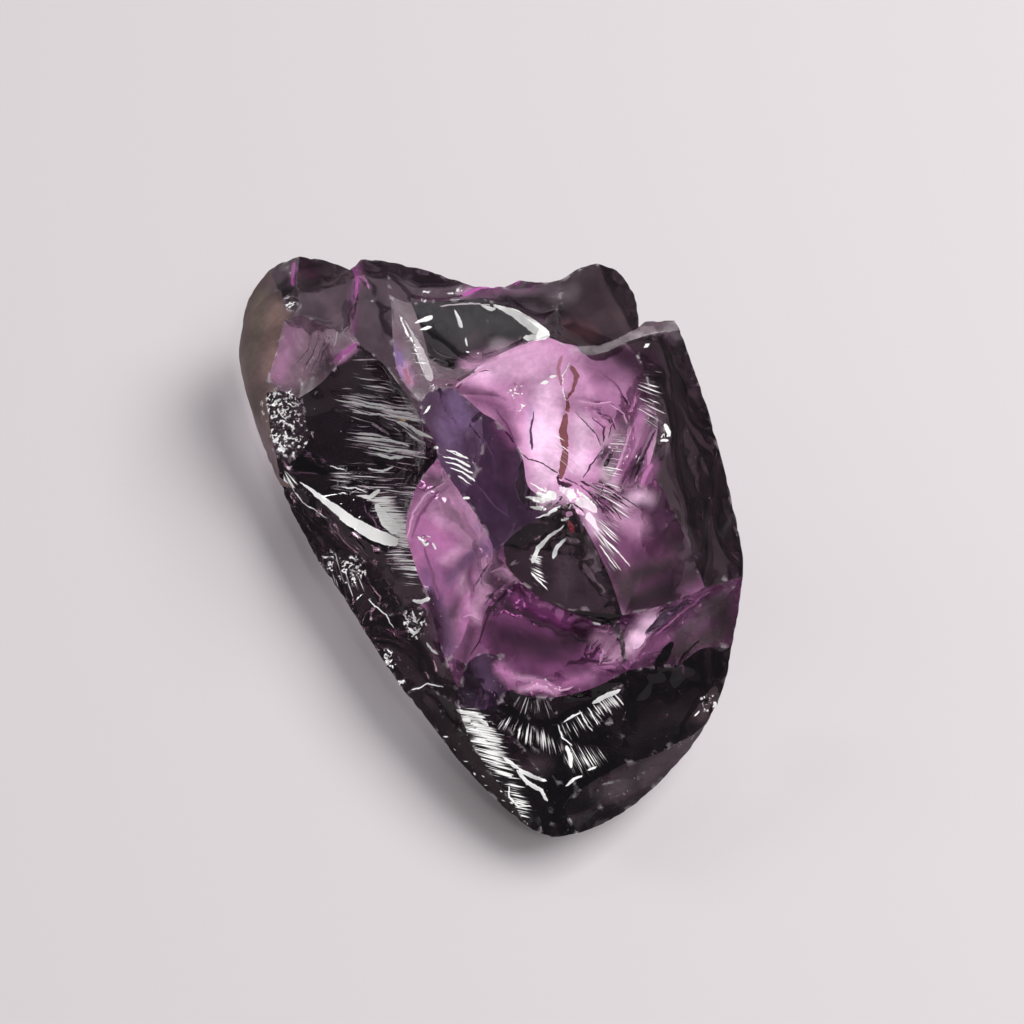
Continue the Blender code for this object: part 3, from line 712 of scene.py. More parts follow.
def away_from_line(spots, line):
    """The distance of many pixels from a line through several, in mm."""
    nearest = np.full(len(spots), np.inf)
    for start, end in zip(line, line[1:] or line):
        if start == end:
            nearest = np.minimum(nearest, np.linalg.norm(spots - start, axis=1) / PIXELS_PER_MM)
            continue
        across, along = across_and_along(spots, np.array(start), np.array(end))
        long = math.dist(start, end) / PIXELS_PER_MM
        past = np.maximum(0, np.maximum(-along, along - long))
        nearest = np.minimum(nearest, np.hypot(across, past))
    return nearest


def soft(distance, reach):
    """One at the middle of a dab, falling to nothing at its reach."""
    share = np.clip(1 - distance / reach, 0, 1)
    return share * share * (3 - 2 * share)


def middles_of(mesh):
    """The middle of every face in pixels, and whether it faces the camera."""
    flat = np.empty(len(mesh.polygons) * 3)
    mesh.polygons.foreach_get("center", flat)
    middles = flat.reshape(-1, 3).copy()
    mesh.polygons.foreach_get("normal", flat)
    return pixels_of(middles), flat.reshape(-1, 3) @ np.array(back) > GRAZING


spots, faces_up = middles_of(stone.data)
print("faces turned to the camera:", int(faces_up.sum()), "of", len(faces_up))

# %% Crushed places
# The crumbs are white as crushed stone is, and that white also paints the glints of their small faces.
CRUSHED = {
    # The pixel of its middle, its reach in mm, how deep it is, how large its lumps
    # are, and how white its crumbs.
    "struck point": ((575, 500), 1.5, 0.30, 0.75, 0.3),
    "below it": ((543, 499), 1.2, 0.26, 0.60, 0.5),
    "frosted strip, top": ((281, 408), 1.9, 0.16, 0.40, 1.0),
    "frosted strip, foot": ((290, 436), 2.0, 0.18, 0.40, 1.0),
    "left edge, top": ((330, 563), 1.3, 0.28, 0.40, 0.6),
    "left edge, middle": ((352, 570), 1.4, 0.28, 0.45, 1.0),
    "left edge, tip": ((388, 660), 1.0, 0.20, 0.35, 1.0),
    "left edge, low": ((400, 682), 0.7, 0.10, 0.30, 0.8),
    "middle band": ((415, 622), 1.3, 0.22, 0.40, 1.0),
    "cap specks": ((289, 303), 0.9, 0.03, 0.20, 0.4),
    "crystal": ((665, 434), 0.6, 0.15, 0.35, 0.6),
    "plate crumple": ((516, 391), 0.9, 0.08, 0.30, 0.8),
    "plate crumple, low": ((521, 407), 0.6, 0.06, 0.30, 0.7),
    "brown chip": ((708, 703), 1.0, 0.25, 0.35, 0.6),
    "petal glint": ((425, 540), 0.6, 0.10, 0.25, 1.0),
}
print("crushed places:", len(CRUSHED))

# %% Subdivide near the strokes
CLOSE = 0.30
CORE = 0.75
near = np.zeros(len(spots), bool)
for line, width, _ in STREAKS.values():
    near |= away_from_line(spots, line) < CLOSE + np.max(width) / PIXELS_PER_MM
for line, reach, *_ in COMBS.values():
    near |= away_from_line(spots, line) < reach * CORE
for place, reach, *_ in CRUSHED.values():
    near |= away_from_line(spots, [place]) < reach * CORE
near &= faces_up
bpy.ops.object.mode_set(mode="EDIT")
bpy.ops.mesh.select_mode(type="FACE")
bpy.ops.mesh.select_all(action="DESELECT")
bpy.ops.object.mode_set(mode="OBJECT")
stone.data.polygons.foreach_set("select", near)
bpy.ops.object.mode_set(mode="EDIT")
bpy.ops.mesh.subdivide(number_cuts=1)
bpy.ops.object.mode_set(mode="OBJECT")
stone.data.calc_loop_triangles()
print("faces now:", len(stone.data.polygons), "triangles:", len(stone.data.loop_triangles))

# %% [markdown]
# ## Ripples, crumbs and chips
#
# A shell-like fracture is never smooth. Faint ripples run round the point that was struck, ridges
# lose small flakes, and where the blow landed the stone is crushed. All of it is pushed into the
# mesh, because it shows in outline and in the way light bends. Points move along their normals,
# by amounts that fade out at the ridges, so that the ridges stay crisp.

# %% Measure every point
def points_of(mesh):
    """The points of a mesh as rows of x, y and z."""
    flat = np.empty(len(mesh.vertices) * 3)
    mesh.vertices.foreach_get("co", flat)
    return flat.reshape(-1, 3)


def faces_round_points(mesh):
    """For every face corner, the number of its point and of its face."""
    corners = np.empty(len(mesh.loops), int)
    mesh.loops.foreach_get("vertex_index", corners)
    sizes = np.empty(len(mesh.polygons), int)
    mesh.polygons.foreach_get("loop_total", sizes)
    return corners, np.repeat(np.arange(len(sizes)), sizes)


points = points_of(stone.data)
corner_point, corner_face = faces_round_points(stone.data)
scars = np.empty(len(stone.data.polygons), int)
stone.data.attributes["scar"].data.foreach_get("value", scars)
point_scar = np.zeros(len(points), int)
point_scar[corner_point] = scars[corner_face]

ends = np.empty(len(stone.data.edges) * 2, int)
stone.data.edges.foreach_get("vertices", ends)
sharp = np.empty(len(stone.data.edges), bool)
stone.data.attributes["sharp_edge"].data.foreach_get("value", sharp)
on_ridge = np.unique(ends.reshape(-1, 2)[sharp])
tree = kdtree.KDTree(len(on_ridge))
for number in on_ridge:
    tree.insert(points[number], number)
tree.balance()
from_ridge = np.array([tree.find(place)[2] for place in points]) / MM

normals = np.empty(len(points) * 3)
stone.data.vertices.foreach_get("normal", normals)
normals = normals.reshape(-1, 3)
point_spots = pixels_of(points)
point_up = normals @ np.array(back) > GRAZING
print("points on ridges:", len(on_ridge), "of", len(points))


def scars_under(line):
    """The numbers of the scars that lie under the pixels of a line."""
    looks = [look_at(*place) for place in line]
    return [scars[face] for found, _, face in looks if found]


# %% Ripples, scar by scar
RIPPLES = {
    # The pixel that the ripples run round, their spacing and their depth in mm.
    "bright plate": ((572, 503), 1.7, 0.012),
    "right plate": ((572, 503), 2.1, 0.02),
    "lower plate": ((572, 503), 1.9, 0.02),
    "front plate": ((572, 503), 1.3, 0.03),
    "left plate": ((572, 503), 1.6, 0.02),
    "black scoop": ((310, 400), 1.9, 0.05),
    "window": ((440, 340), 1.6, 0.04),
    "petal": ((470, 520), 1.3, 0.04),
    "crescent": ((600, 650), 1.5, 0.06),
    "magenta crescent": ((650, 600), 1.4, 0.05),
    "indigo facet": ((440, 400), 1.3, 0.05),
    "low indigo": ((480, 650), 1.0, 0.05),
    "pink strip": ((500, 560), 1.1, 0.05),
    "pink patch": ((330, 330), 1.1, 0.04),
    "upper left band": ((285, 490), 1.5, 0.05),
    "black band": ((640, 690), 1.8, 0.06),
    "grey facet": ((570, 800), 2.2, 0.05),
}
print("rippled scars:", len(RIPPLES))

# %% Lumps and steps
SCATTER = 7.31  # Spreads the middles of lumps over the cells of the noise.
COMB_SHIFT = 30  # Keeps the noise of one comb apart from that of the next.


def noise_at(places, size, seed):
    """Smooth noise from -1 to 1 at every place, with lumps of a size in mm."""
    away = Vector((seed, 0, 0))
    return np.array([noise.noise(Vector(place / (size * MM)) + away) for place in places])


def lumps_at(places, size, seed):
    """One value from 0 to 1 for each small lump of the stone that a place lies in."""
    away = Vector((0, seed, 0))
    middles = [noise.voronoi(Vector(place / (size * MM)) + away)[1][0] for place in places]
    return np.array([noise.cell(middle * SCATTER) for middle in middles])


def comb_at(spots, number):
    """Across and along the steps of a comb, counted in steps and in mm, and how thick they stand."""
    line, reach, fan, fine, power = list(COMBS.values())[number]
    way = (spots - np.array(fan)) / PIXELS_PER_MM
    middle = np.mean(line, axis=0)
    round_fan = math.dist(middle, fan) / PIXELS_PER_MM
    across = np.arctan2(way[:, 1], way[:, 0]) * round_fan * fine + COMB_SHIFT * number
    return across, np.linalg.norm(way, axis=1), soft(away_from_line(spots, line), reach) * power


print("power along the scoop rim:", comb_at(np.array(COMBS["scoop rim"][0]), 0)[2].round(2))

# %% Broad relief
RIDGE_FADE = 0.9
ROLL = (4.0, 0.09)  # The size of its waves and their depth, in mm.
CRUMB = (1.1, 0.03)
ROLL_SEED, CRUMB_SEED = 3.7, 11.3

fade = np.clip(from_ridge / RIDGE_FADE, 0, 1)
fade = fade * fade * (3 - 2 * fade)
roll = noise_at(points, ROLL[0], ROLL_SEED)
push = (roll * ROLL[1] + noise_at(points, CRUMB[0], CRUMB_SEED) * CRUMB[1]) * fade
for name, (place, spacing, depth) in RIPPLES.items():
    mine = point_scar == SCARS.index(name)
    way = away_from_line(point_spots, [place]) / spacing
    push += mine * fade * depth * np.sin(2 * math.pi * way + 3 * roll)
for name, (place, reach, depth, lump, _) in CRUSHED.items():
    dab = soft(away_from_line(point_spots, [place]), reach) * point_up
    inside = np.flatnonzero(dab)
    push[inside] -= dab[inside] * depth * lumps_at(points[inside], lump, len(name))
print("broad relief, mm:", round(push.min(), 2), "to", round(push.max(), 2))

# %% Fine relief
COMB_DEPTH, COMB_SEED = 0.05, 2.2
STREAK_DEPTH = 0.05
STREAK_REACH = 2.0  # How far a streak's relief runs out, in half widths of the streak.
NICK = (0.7, 0.16)
NICK_REACH, NICK_SEED = 0.25, 5.1

for number in range(len(COMBS)):
    across, along, power = comb_at(point_spots, number)
    mine = np.isin(point_scar, scars_under(list(COMBS.values())[number][0]))
    inside = np.flatnonzero((power > 0) & point_up & mine)
    steps = np.column_stack([across, along / 2, across * 0])[inside] * MM
    push[inside] += noise_at(steps, 1.0, COMB_SEED) * np.minimum(power[inside], 1) * COMB_DEPTH
for line, width, kind in STREAKS.values():
    line_away = away_from_line(point_spots, line) * PIXELS_PER_MM / np.max(width)
    push += (1 - 2 * (kind == "crack")) * STREAK_DEPTH * soft(line_away, STREAK_REACH) * point_up
nicks = np.clip(noise_at(points, NICK[0], NICK_SEED), 0, 1)
push -= NICK[1] * np.exp(-((from_ridge / NICK_REACH) ** 2)) * nicks
print("with the fine relief, mm:", round(push.min(), 2), "to", round(push.max(), 2))

# %% Move the points
FOOT = 0.6  # The height over the table from which the relief is whole.

push *= np.clip((points[:, 2] / MM) / FOOT, 0, 1)
push[point_scar == SCARS.index("resting face")] = 0
points += normals * push[:, None] * MM
points = np.clip(points, np.array(CAD_BOX[0]), np.array(CAD_BOX[1]))
stone.data.vertices.foreach_set("co", points.ravel())
stone.data.update()
bpy.ops.object.shade_smooth_by_angle(angle=SHARP_ANYWAY)
print("pushed in, mm:", round(push.min(), 2), "to", round(push.max(), 2))

# %% [markdown]
# ## Colour, with light and shade painted in, scar by scar
#
# The body of the stone is one violet. It looks black where light is thrown back inside it, smoky
# where it is thin over something dark, and bright where light comes up through it. Those looks are
# painted onto the scars: each scar is given a tint, dark as painted shade or bright as painted
# light, and soft strokes of paint add more light and shade within a scar. They are kept as colour
# attributes, so they stay on the surface whatever way it is turned.

# %% Tints
# Most tints paint light and shade. The dark ones are painted shade, where the stone throws light back inside
# it; the bright, pink and cloudy ones are painted light coming up through it. White is painted highlight,
# and the blue and orange sparks are painted rainbow glints. Haze is partly a milky look of the stone and
# partly a painted sheen. The tints of the weathered skin and the rust of the veils are the stone's own
# colours.
TINTS = {
    # Red, green and blue that the surface lets through, and how cloudy it is, from 0 to 1.
    "black": (0.0005, 0.0002, 0.0004, 0.0),
    "ink": (0.0035, 0.0016, 0.0026, 0.0),
    "near black": (0.009, 0.0055, 0.0065, 0.03),
    "coal": (0.0045, 0.0026, 0.0031, 0.02),
    "opaque dark": (0.026, 0.018, 0.020, 0.85),
    "umber": (0.028, 0.017, 0.018, 0.25),
    "smoke": (0.056, 0.040, 0.048, 0.25),
    "ash": (0.22, 0.185, 0.195, 0.35),
    "haze": (0.70, 0.65, 0.66, 0.60),
    "window glass": (0.013, 0.0165, 0.014, 0.03),
    "skin": (0.226, 0.142, 0.128, 0.95),
    "ear grey": (0.012, 0.0075, 0.0085, 0.12),
    "plate pink": (0.86, 0.38, 0.70, 0.42),
    "pink skin": (0.17, 0.09, 0.115, 0.8),
    "rust": (0.25, 0.075, 0.078, 0.5),
    "deep indigo": (0.014, 0.0048, 0.018, 0.03),
    "indigo": (0.064, 0.032, 0.082, 0.18),
    "lilac": (0.30, 0.19, 0.48, 0.35),
    "plum": (0.018, 0.004, 0.013, 0.03),
    "mauve": (0.20, 0.118, 0.158, 0.38),
    "magenta": (0.15, 0.026, 0.115, 0.08),
    "purple": (0.17, 0.080, 0.195, 0.5),
    "opaque plum": (0.024, 0.0066, 0.0186, 0.6),
    "dusk": (0.050, 0.030, 0.038, 0.85),
    "grey dusk": (0.056, 0.046, 0.049, 0.8),
    "opaque smoke": (0.080, 0.056, 0.068, 0.75),
    "opaque magenta": (0.135, 0.042, 0.108, 0.85),
    "violet": (0.28, 0.078, 0.215, 0.15),
    "orchid": (0.68, 0.215, 0.53, 0.32),
    "petal light": (0.95, 0.50, 0.79, 0.50),
    "white pink": (1.0, 0.64, 0.89, 0.80),
    "hot magenta": (0.62, 0.10, 0.50, 0.45),
    "olive skin": (0.125, 0.102, 0.076, 0.95),
    "pale": (1.0, 0.84, 0.94, 0.95),
    "white": (1.0, 0.985, 0.97, 1.0),
    "rose": (0.55, 0.20, 0.30, 0.40),
    "spark blue": (0.25, 0.45, 1.0, 0.8),
    "spark orange": (1.0, 0.55, 0.15, 0.8),
    "red": (0.30, 0.03, 0.04, 0.5),
    "crack": (0.012, 0.004, 0.008, 0.0),
    "clear": (0.80, 0.66, 0.78, 0.05),
}
print("tints:", len(TINTS))

# %% The finish of each scar
# A scar's dark tint is painted shade and a bright one painted light; the weathered skin keeps its own
# colour.
FINISH = {
    # The tint of each scar, and how rough it is.
    "weathered skin": ("skin", 0.55),
    "cap left": ("smoke", 0.20),
    "cap right": ("smoke", 0.12),
    "pink patch": ("mauve", 0.15),
    "frosted strip": ("ink", 0.15),
    "black scoop": ("black", 0.02),
    "smoky ridge": ("smoke", 0.10),
    "rainbow facet": ("ash", 0.04),
    "window side": ("ash", 0.05),
    "window": ("window glass", 0.02),
    "back band": ("smoke", 0.08),
    "back dark": ("smoke", 0.10),
    "ear": ("ear grey", 0.12),
    "bevel": ("ash", 0.15),
    "small facet": ("mauve", 0.06),
    "indigo facet": ("indigo", 0.06),
    "bright plate": ("plate pink", 0.03),
    "right plate": ("near black", 0.03),
    "lower plate": ("violet", 0.03),
    "front plate": ("near black", 0.02),
    "left plate": ("deep indigo", 0.03),
    "wedge": ("black", 0.05),
    "petal": ("orchid", 0.03),
    "pink strip": ("violet", 0.05),
    "crescent": ("magenta", 0.03),
    "low indigo": ("deep indigo", 0.05),
    "magenta crescent": ("magenta", 0.03),
    "upper left band": ("coal", 0.03),
    "middle left band": ("coal", 0.03),
    "lower left band": ("opaque dark", 0.10),
    "comb": ("ink", 0.05),
    "bowl": ("black", 0.02),
    "upper rungs": ("black", 0.04),
    "lower rungs": ("black", 0.04),
    "black band": ("black", 0.02),
    "grey facet": ("near black", 0.06),
}
SIDE_FINISH = ("clear", 0.06)
DARK_TO_LAMPS = {
    # The scars that hold back the light of lamps that shines through the stone.
    "upper left band", "middle left band", "lower left band", "comb", "bowl", "black scoop",
    "upper rungs", "lower rungs", "black band", "grey facet", "weathered skin",
    "left side, middle", "left side, tip", "front side, left", "front side, tip",
    "front side, right", "side by the skin", "side above the skin",
}
print("scars with a finish of their own:", len(FINISH))

# %% Paint on the skin in its own colours, and painted light and shade on the cap and patch
# Most strokes paint light and shade into the tint: bright strokes paint light coming up through the stone,
# and black, ink and plum ones paint shade. On the weathered skin the strokes keep to its own colours.
PAINT = [
    # The line of a stroke, its reach in mm, its tint and how strongly it covers.
    ([(256, 270), (268, 285)], 1.2, "pink skin", 0.7),
    ([(245, 330), (250, 430)], 1.2, "umber", 0.4),
    ([(262, 345), (260, 385)], 1.0, "pink skin", 0.3),
    ([(262, 292), (258, 330), (250, 370)], 1.1, "olive skin", 0.7),
    ([(252, 400), (262, 440)], 1.0, "olive skin", 0.5),
    ([(258, 430), (272, 470)], 1.2, "smoke", 0.7),
    ([(250, 290), (270, 262), (300, 258)], 0.8, "plum", 0.6),
    ([(300, 266), (312, 272)], 0.9, "magenta", 0.6),
    ([(310, 265), (318, 280)], 1.1, "plum", 0.6),
    ([(276, 268), (284, 276)], 0.7, "plum", 0.6),
    ([(276, 288), (288, 296), (296, 310)], 1.1, "black", 0.8),
    ([(330, 285), (350, 280)], 1.6, "umber", 0.5),
    ([(335, 315), (352, 322)], 0.9, "mauve", 0.4),
    ([(356, 268), (358, 282), (352, 300), (352, 330)], 0.55, "magenta", 0.8),
    ([(354, 262), (358, 276)], 0.6, "orchid", 0.6),
    ([(370, 268), (400, 276), (440, 282)], 0.9, "ink", 0.55),
    ([(355, 345), (343, 355), (335, 360)], 0.5, "orchid", 0.8),
    ([(292, 332), (278, 376)], 1.0, "orchid", 0.35),
    ([(304, 325), (300, 345)], 0.7, "petal light", 0.25),
    ([(330, 338), (345, 336)], 0.7, "haze", 0.25),
    ([(328, 362), (312, 383), (300, 392)], 1.1, "umber", 0.9),
    ([(270, 385), (292, 392)], 0.6, "smoke", 0.5),
]
print("strokes so far:", len(PAINT))

# %% Paint on the smoky ridge, the window and the back: mostly painted light and shade
PAINT += [
    ([(370, 300), (372, 330)], 1.3, "window glass", 0.4),
    ([(394, 350), (400, 372)], 0.9, "lilac", 0.9),
    ([(405, 368), (412, 382)], 0.8, "petal light", 0.6),
    ([(395, 330), (400, 345)], 0.8, "mauve", 0.8),
    ([(415, 392), (422, 398)], 0.6, "haze", 0.5),
    ([(425, 335), (440, 365)], 1.0, "near black", 0.15),
    ([(480, 345), (470, 365)], 1.4, "smoke", 0.4),
    ([(498, 347), (508, 350)], 0.8, "haze", 0.6),
    ([(470, 292), (500, 288), (530, 288)], 0.8, "magenta", 0.55),
    ([(462, 295), (470, 290)], 0.5, "petal light", 0.5),
    ([(490, 302), (535, 298), (560, 315)], 1.1, "black", 0.9),
    ([(558, 297), (572, 292)], 0.9, "ash", 0.35),
    ([(590, 268), (600, 285), (596, 320)], 1.6, "ink", 0.7),
    ([(620, 275), (632, 300)], 1.0, "smoke", 0.6),
    ([(570, 330), (590, 335)], 1.0, "rust", 0.25),
    ([(600, 322), (630, 316)], 1.2, "umber", 0.6),
    ([(575, 349), (600, 350), (640, 335)], 0.6, "haze", 0.45),
    ([(655, 330), (672, 328), (676, 336)], 0.8, "ash", 0.7),
]
print("strokes so far:", len(PAINT))

# %% Painted light and shade on the bright face and right of it
PAINT += [
    ([(440, 385), (455, 378)], 0.8, "mauve", 0.6),
    ([(430, 405), (430, 440)], 1.2, "plum", 0.5),
    ([(455, 400), (462, 420)], 1.1, "lilac", 0.45),
    ([(445, 425), (452, 440)], 1.2, "lilac", 0.25),
    ([(470, 440), (476, 470)], 0.9, "deep indigo", 0.8),
    ([(455, 480), (466, 495)], 1.2, "deep indigo", 0.8),
    ([(470, 366), (500, 358), (540, 350)], 1.1, "petal light", 0.9),
    ([(480, 375), (505, 368), (530, 370)], 1.4, "white pink", 0.6),
    ([(480, 400), (505, 410)], 1.3, "violet", 0.6),
    ([(500, 425), (515, 440)], 0.9, "magenta", 0.6),
    ([(520, 360), (550, 365), (556, 400)], 1.6, "petal light", 0.8),
    ([(532, 410), (532, 445)], 0.55, "lilac", 0.8),
    ([(545, 395), (550, 435)], 1.9, "white pink", 0.9),
    ([(585, 400), (584, 430)], 1.5, "petal light", 0.8),
    ([(540, 430), (544, 478)], 1.8, "white pink", 1.0),
    ([(552, 420), (554, 470)], 1.2, "white pink", 0.9),
    ([(582, 425), (580, 466)], 1.4, "white pink", 0.95),
    ([(590, 375), (600, 400), (620, 410)], 1.8, "orchid", 0.7),
    ([(600, 405), (630, 420)], 1.2, "violet", 0.5),
    ([(610, 360), (640, 385), (645, 410)], 1.5, "violet", 0.8),
    ([(578, 368), (592, 395)], 0.7, "petal light", 0.4),
    ([(588, 360), (612, 374)], 1.3, "violet", 0.75),
    ([(600, 375), (626, 396), (636, 420)], 1.2, "violet", 0.55),
    ([(490, 398), (505, 418), (512, 440)], 0.8, "magenta", 0.6),
    ([(458, 388), (470, 396), (484, 402)], 0.9, "violet", 0.55),
    ([(610, 352), (650, 362)], 1.4, "umber", 0.9),
    ([(630, 356), (648, 374)], 1.2, "ink", 0.6),
    ([(650, 350), (655, 375)], 1.2, "ink", 0.8),
    ([(595, 355), (620, 347)], 0.8, "plum", 0.5),
    ([(600, 445), (612, 435)], 0.9, "haze", 0.35),
    ([(625, 425), (610, 470), (600, 492)], 0.9, "ash", 0.6),
    ([(640, 420), (625, 465), (610, 488)], 0.55, "orchid", 0.8),
    ([(652, 418), (636, 465), (622, 488)], 0.6, "plum", 0.9),
    ([(600, 462), (606, 450)], 0.5, "ink", 0.8),
    ([(640, 460), (640, 485)], 0.8, "ink", 0.6),
    ([(652, 465), (645, 485)], 0.8, "violet", 0.95),
    ([(655, 420), (660, 445)], 1.0, "ash", 0.45),
]
print("strokes so far:", len(PAINT))

# %% Painted light and shade round the struck point and in front of it
PAINT += [
    ([(545, 500), (565, 498), (588, 508), (596, 530)], 1.0, "white pink", 0.9),
    ([(596, 486), (612, 498), (624, 512)], 0.9, "magenta", 0.6),
    ([(625, 503), (640, 496), (652, 500)], 1.0, "white pink", 1.0),
    ([(620, 518), (640, 525)], 1.4, "petal light", 0.7),
    ([(628, 585), (632, 600), (660, 592)], 1.5, "dusk", 1.0),
    ([(616, 548), (622, 558)], 0.8, "violet", 0.7),
    ([(640, 556), (668, 540)], 1.5, "opaque plum", 0.7),
    ([(616, 572), (624, 590)], 1.3, "dusk", 1.0),
    ([(636, 575), (668, 565)], 1.5, "dusk", 1.0),
    ([(680, 545), (692, 575)], 1.2, "dusk", 0.9),
    ([(605, 545), (612, 575)], 1.1, "plum", 0.6),
    ([(670, 505), (690, 520), (700, 560), (675, 590)], 2.0, "near black", 0.95),
    ([(665, 530), (690, 555)], 1.4, "smoke", 0.5),
    ([(685, 535), (695, 555)], 0.8, "ash", 0.3),
    ([(610, 600), (640, 606), (670, 600)], 0.8, "near black", 0.7),
    ([(700, 480), (725, 540)], 1.0, "near black", 0.5),
    ([(505, 490), (525, 520), (515, 545)], 1.0, "black", 0.7),
    ([(560, 560), (566, 585)], 1.2, "smoke", 0.35),
    ([(575, 590), (600, 598)], 1.0, "ink", 0.7),
    ([(590, 560), (605, 590)], 0.7, "ash", 0.4),
    ([(575, 535), (590, 550)], 0.6, "black", 0.8),
    ([(600, 560), (605, 575)], 0.6, "black", 0.8),
    ([(500, 550), (520, 570), (535, 590)], 0.9, "ink", 0.8),
    ([(545, 540), (548, 580)], 0.9, "black", 0.5),
    ([(500, 445), (515, 480)], 1.0, "plum", 0.35),
]
print("strokes so far:", len(PAINT))

# %% Painted light and shade on the petal and the pink strip
PAINT += [
    ([(445, 482), (425, 495), (411, 515), (407, 538)], 0.45, "petal light", 0.8),
    ([(430, 478), (448, 488)], 1.0, "plum", 0.9),
    ([(445, 495), (430, 520)], 1.1, "orchid", 0.6),
    ([(446, 500), (460, 518), (474, 534)], 1.5, "petal light", 1.0),
    ([(465, 500), (480, 525)], 0.9, "petal light", 0.6),
    ([(480, 530), (485, 550)], 0.9, "lilac", 0.8),
    ([(470, 545), (478, 560)], 1.0, "violet", 0.5),
    ([(420, 550), (430, 575)], 1.2, "violet", 0.6),
    ([(436, 600), (442, 650)], 1.2, "plum", 0.85),
    ([(440, 560), (450, 600)], 1.4, "purple", 0.35),
    ([(430, 590), (440, 630)], 0.7, "plum", 0.8),
    ([(452, 610), (450, 655)], 1.1, "mauve", 0.7),
    ([(474, 552), (466, 582), (452, 615)], 0.6, "plum", 0.8),
    ([(424, 575), (434, 600), (450, 650)], 1.3, "purple", 0.8),
    ([(430, 598), (436, 620), (440, 642)], 1.0, "opaque plum", 1.0),
    ([(424, 482), (412, 505), (408, 528)], 0.7, "violet", 0.6),
    ([(446, 570), (452, 600)], 0.8, "violet", 0.6),
    ([(458, 560), (462, 590)], 0.7, "petal light", 0.5),
    ([(485, 560), (482, 590)], 0.8, "petal light", 0.7),
    ([(487, 592), (476, 612)], 0.8, "petal light", 0.7),
    ([(500, 572), (515, 580)], 0.6, "petal light", 0.9),
    ([(470, 605), (478, 620)], 0.6, "petal light", 0.6),
    ([(495, 590), (487, 610)], 0.6, "magenta", 0.7),
    ([(472, 630), (462, 665)], 0.7, "plum", 0.8),
]
print("strokes so far:", len(PAINT))

# %% Painted light and shade on the crescents and the lower faces
PAINT += [
    ([(500, 594), (530, 606), (560, 618), (588, 634)], 0.8, "opaque magenta", 1.0),
    ([(518, 598), (545, 608), (566, 618)], 0.5, "orchid", 0.6),
    ([(570, 622), (592, 640)], 0.8, "plum", 0.9),
    ([(505, 636), (550, 648), (585, 636)], 1.7, "opaque plum", 1.0),
    ([(520, 650), (570, 655)], 1.2, "ink", 0.6),
    ([(490, 625), (500, 660)], 0.8, "plum", 0.7),
    ([(500, 668), (515, 682), (545, 687), (590, 677)], 0.75, "orchid", 0.85),
    ([(512, 676), (545, 681)], 0.35, "petal light", 0.7),
    ([(520, 690), (540, 685), (556, 692)], 0.55, "petal light", 1.0),
    ([(588, 650), (606, 660)], 0.6, "magenta", 0.7),
    ([(600, 640), (612, 640), (614, 655)], 1.1, "petal light", 1.0),
    ([(596, 668), (618, 662)], 0.5, "orchid", 0.8),
    ([(616, 625), (622, 645)], 0.5, "smoke", 0.9),
    ([(630, 646), (643, 626), (655, 612)], 1.1, "white pink", 1.0),
    ([(640, 655), (665, 640)], 1.0, "orchid", 0.6),
    ([(660, 612), (690, 598), (705, 590)], 0.6, "orchid", 0.6),
    ([(655, 625), (672, 608)], 0.6, "indigo", 0.7),
    ([(680, 636), (700, 616), (725, 600)], 1.4, "opaque smoke", 0.9),
    ([(718, 605), (728, 622), (715, 640)], 1.5, "dusk", 0.95),
    ([(675, 652), (700, 642), (720, 632)], 1.2, "dusk", 1.0),
    ([(690, 655), (670, 662)], 0.8, "umber", 0.6),
    ([(480, 655), (490, 690)], 0.8, "indigo", 0.6),
    ([(485, 680), (487, 700)], 0.4, "indigo", 0.7),
    ([(470, 700), (480, 708)], 0.6, "indigo", 0.6),
    ([(505, 700), (540, 700), (580, 697)], 0.6, "black", 0.9),
    ([(700, 715), (725, 680), (735, 655)], 0.9, "umber", 0.8),
    ([(600, 795), (650, 772), (695, 735)], 1.2, "grey dusk", 0.9),
    ([(560, 800), (600, 790)], 1.2, "ink", 0.6),
    ([(620, 740), (680, 715)], 1.2, "near black", 0.35),
]
print("strokes so far:", len(PAINT))

# %% Last strokes of painted light and shade, over the others
PAINT += [
    ([(480, 546), (466, 560), (450, 580)], 0.8, "purple", 0.9),
    ([(484, 532), (464, 546), (446, 560)], 0.7, "petal light", 0.8),
    ([(516, 600), (540, 612), (566, 622)], 0.75, "hot magenta", 0.75),
    ([(672, 622), (690, 615)], 0.9, "opaque magenta", 0.5),
    ([(622, 702), (650, 690), (690, 678), (722, 668)], 1.8, "black", 1.0),
    ([(618, 350), (638, 368), (648, 398)], 1.3, "opaque plum", 0.9),
    ([(650, 395), (655, 425)], 0.8, "opaque plum", 0.7),
    ([(434, 512), (446, 524)], 0.9, "petal light", 0.8),
    ([(414, 536), (418, 560)], 0.8, "orchid", 0.8),
    ([(505, 300), (560, 300)], 0.8, "black", 0.5),
    ([(610, 792), (640, 783), (690, 748)], 1.6, "opaque smoke", 0.8),
    ([(530, 765), (540, 765)], 1.2, "dusk", 0.8),
    ([(628, 356), (650, 364)], 1.3, "opaque plum", 0.9),
    ([(606, 470), (614, 488)], 1.0, "haze", 0.5),
    ([(598, 650), (606, 646)], 0.9, "hot magenta", 0.5),
    ([(420, 690), (450, 750), (500, 815)], 0.8, "near black", 0.7),
    ([(345, 600), (400, 680)], 0.8, "umber", 0.3),
]
print("strokes in all:", len(PAINT))

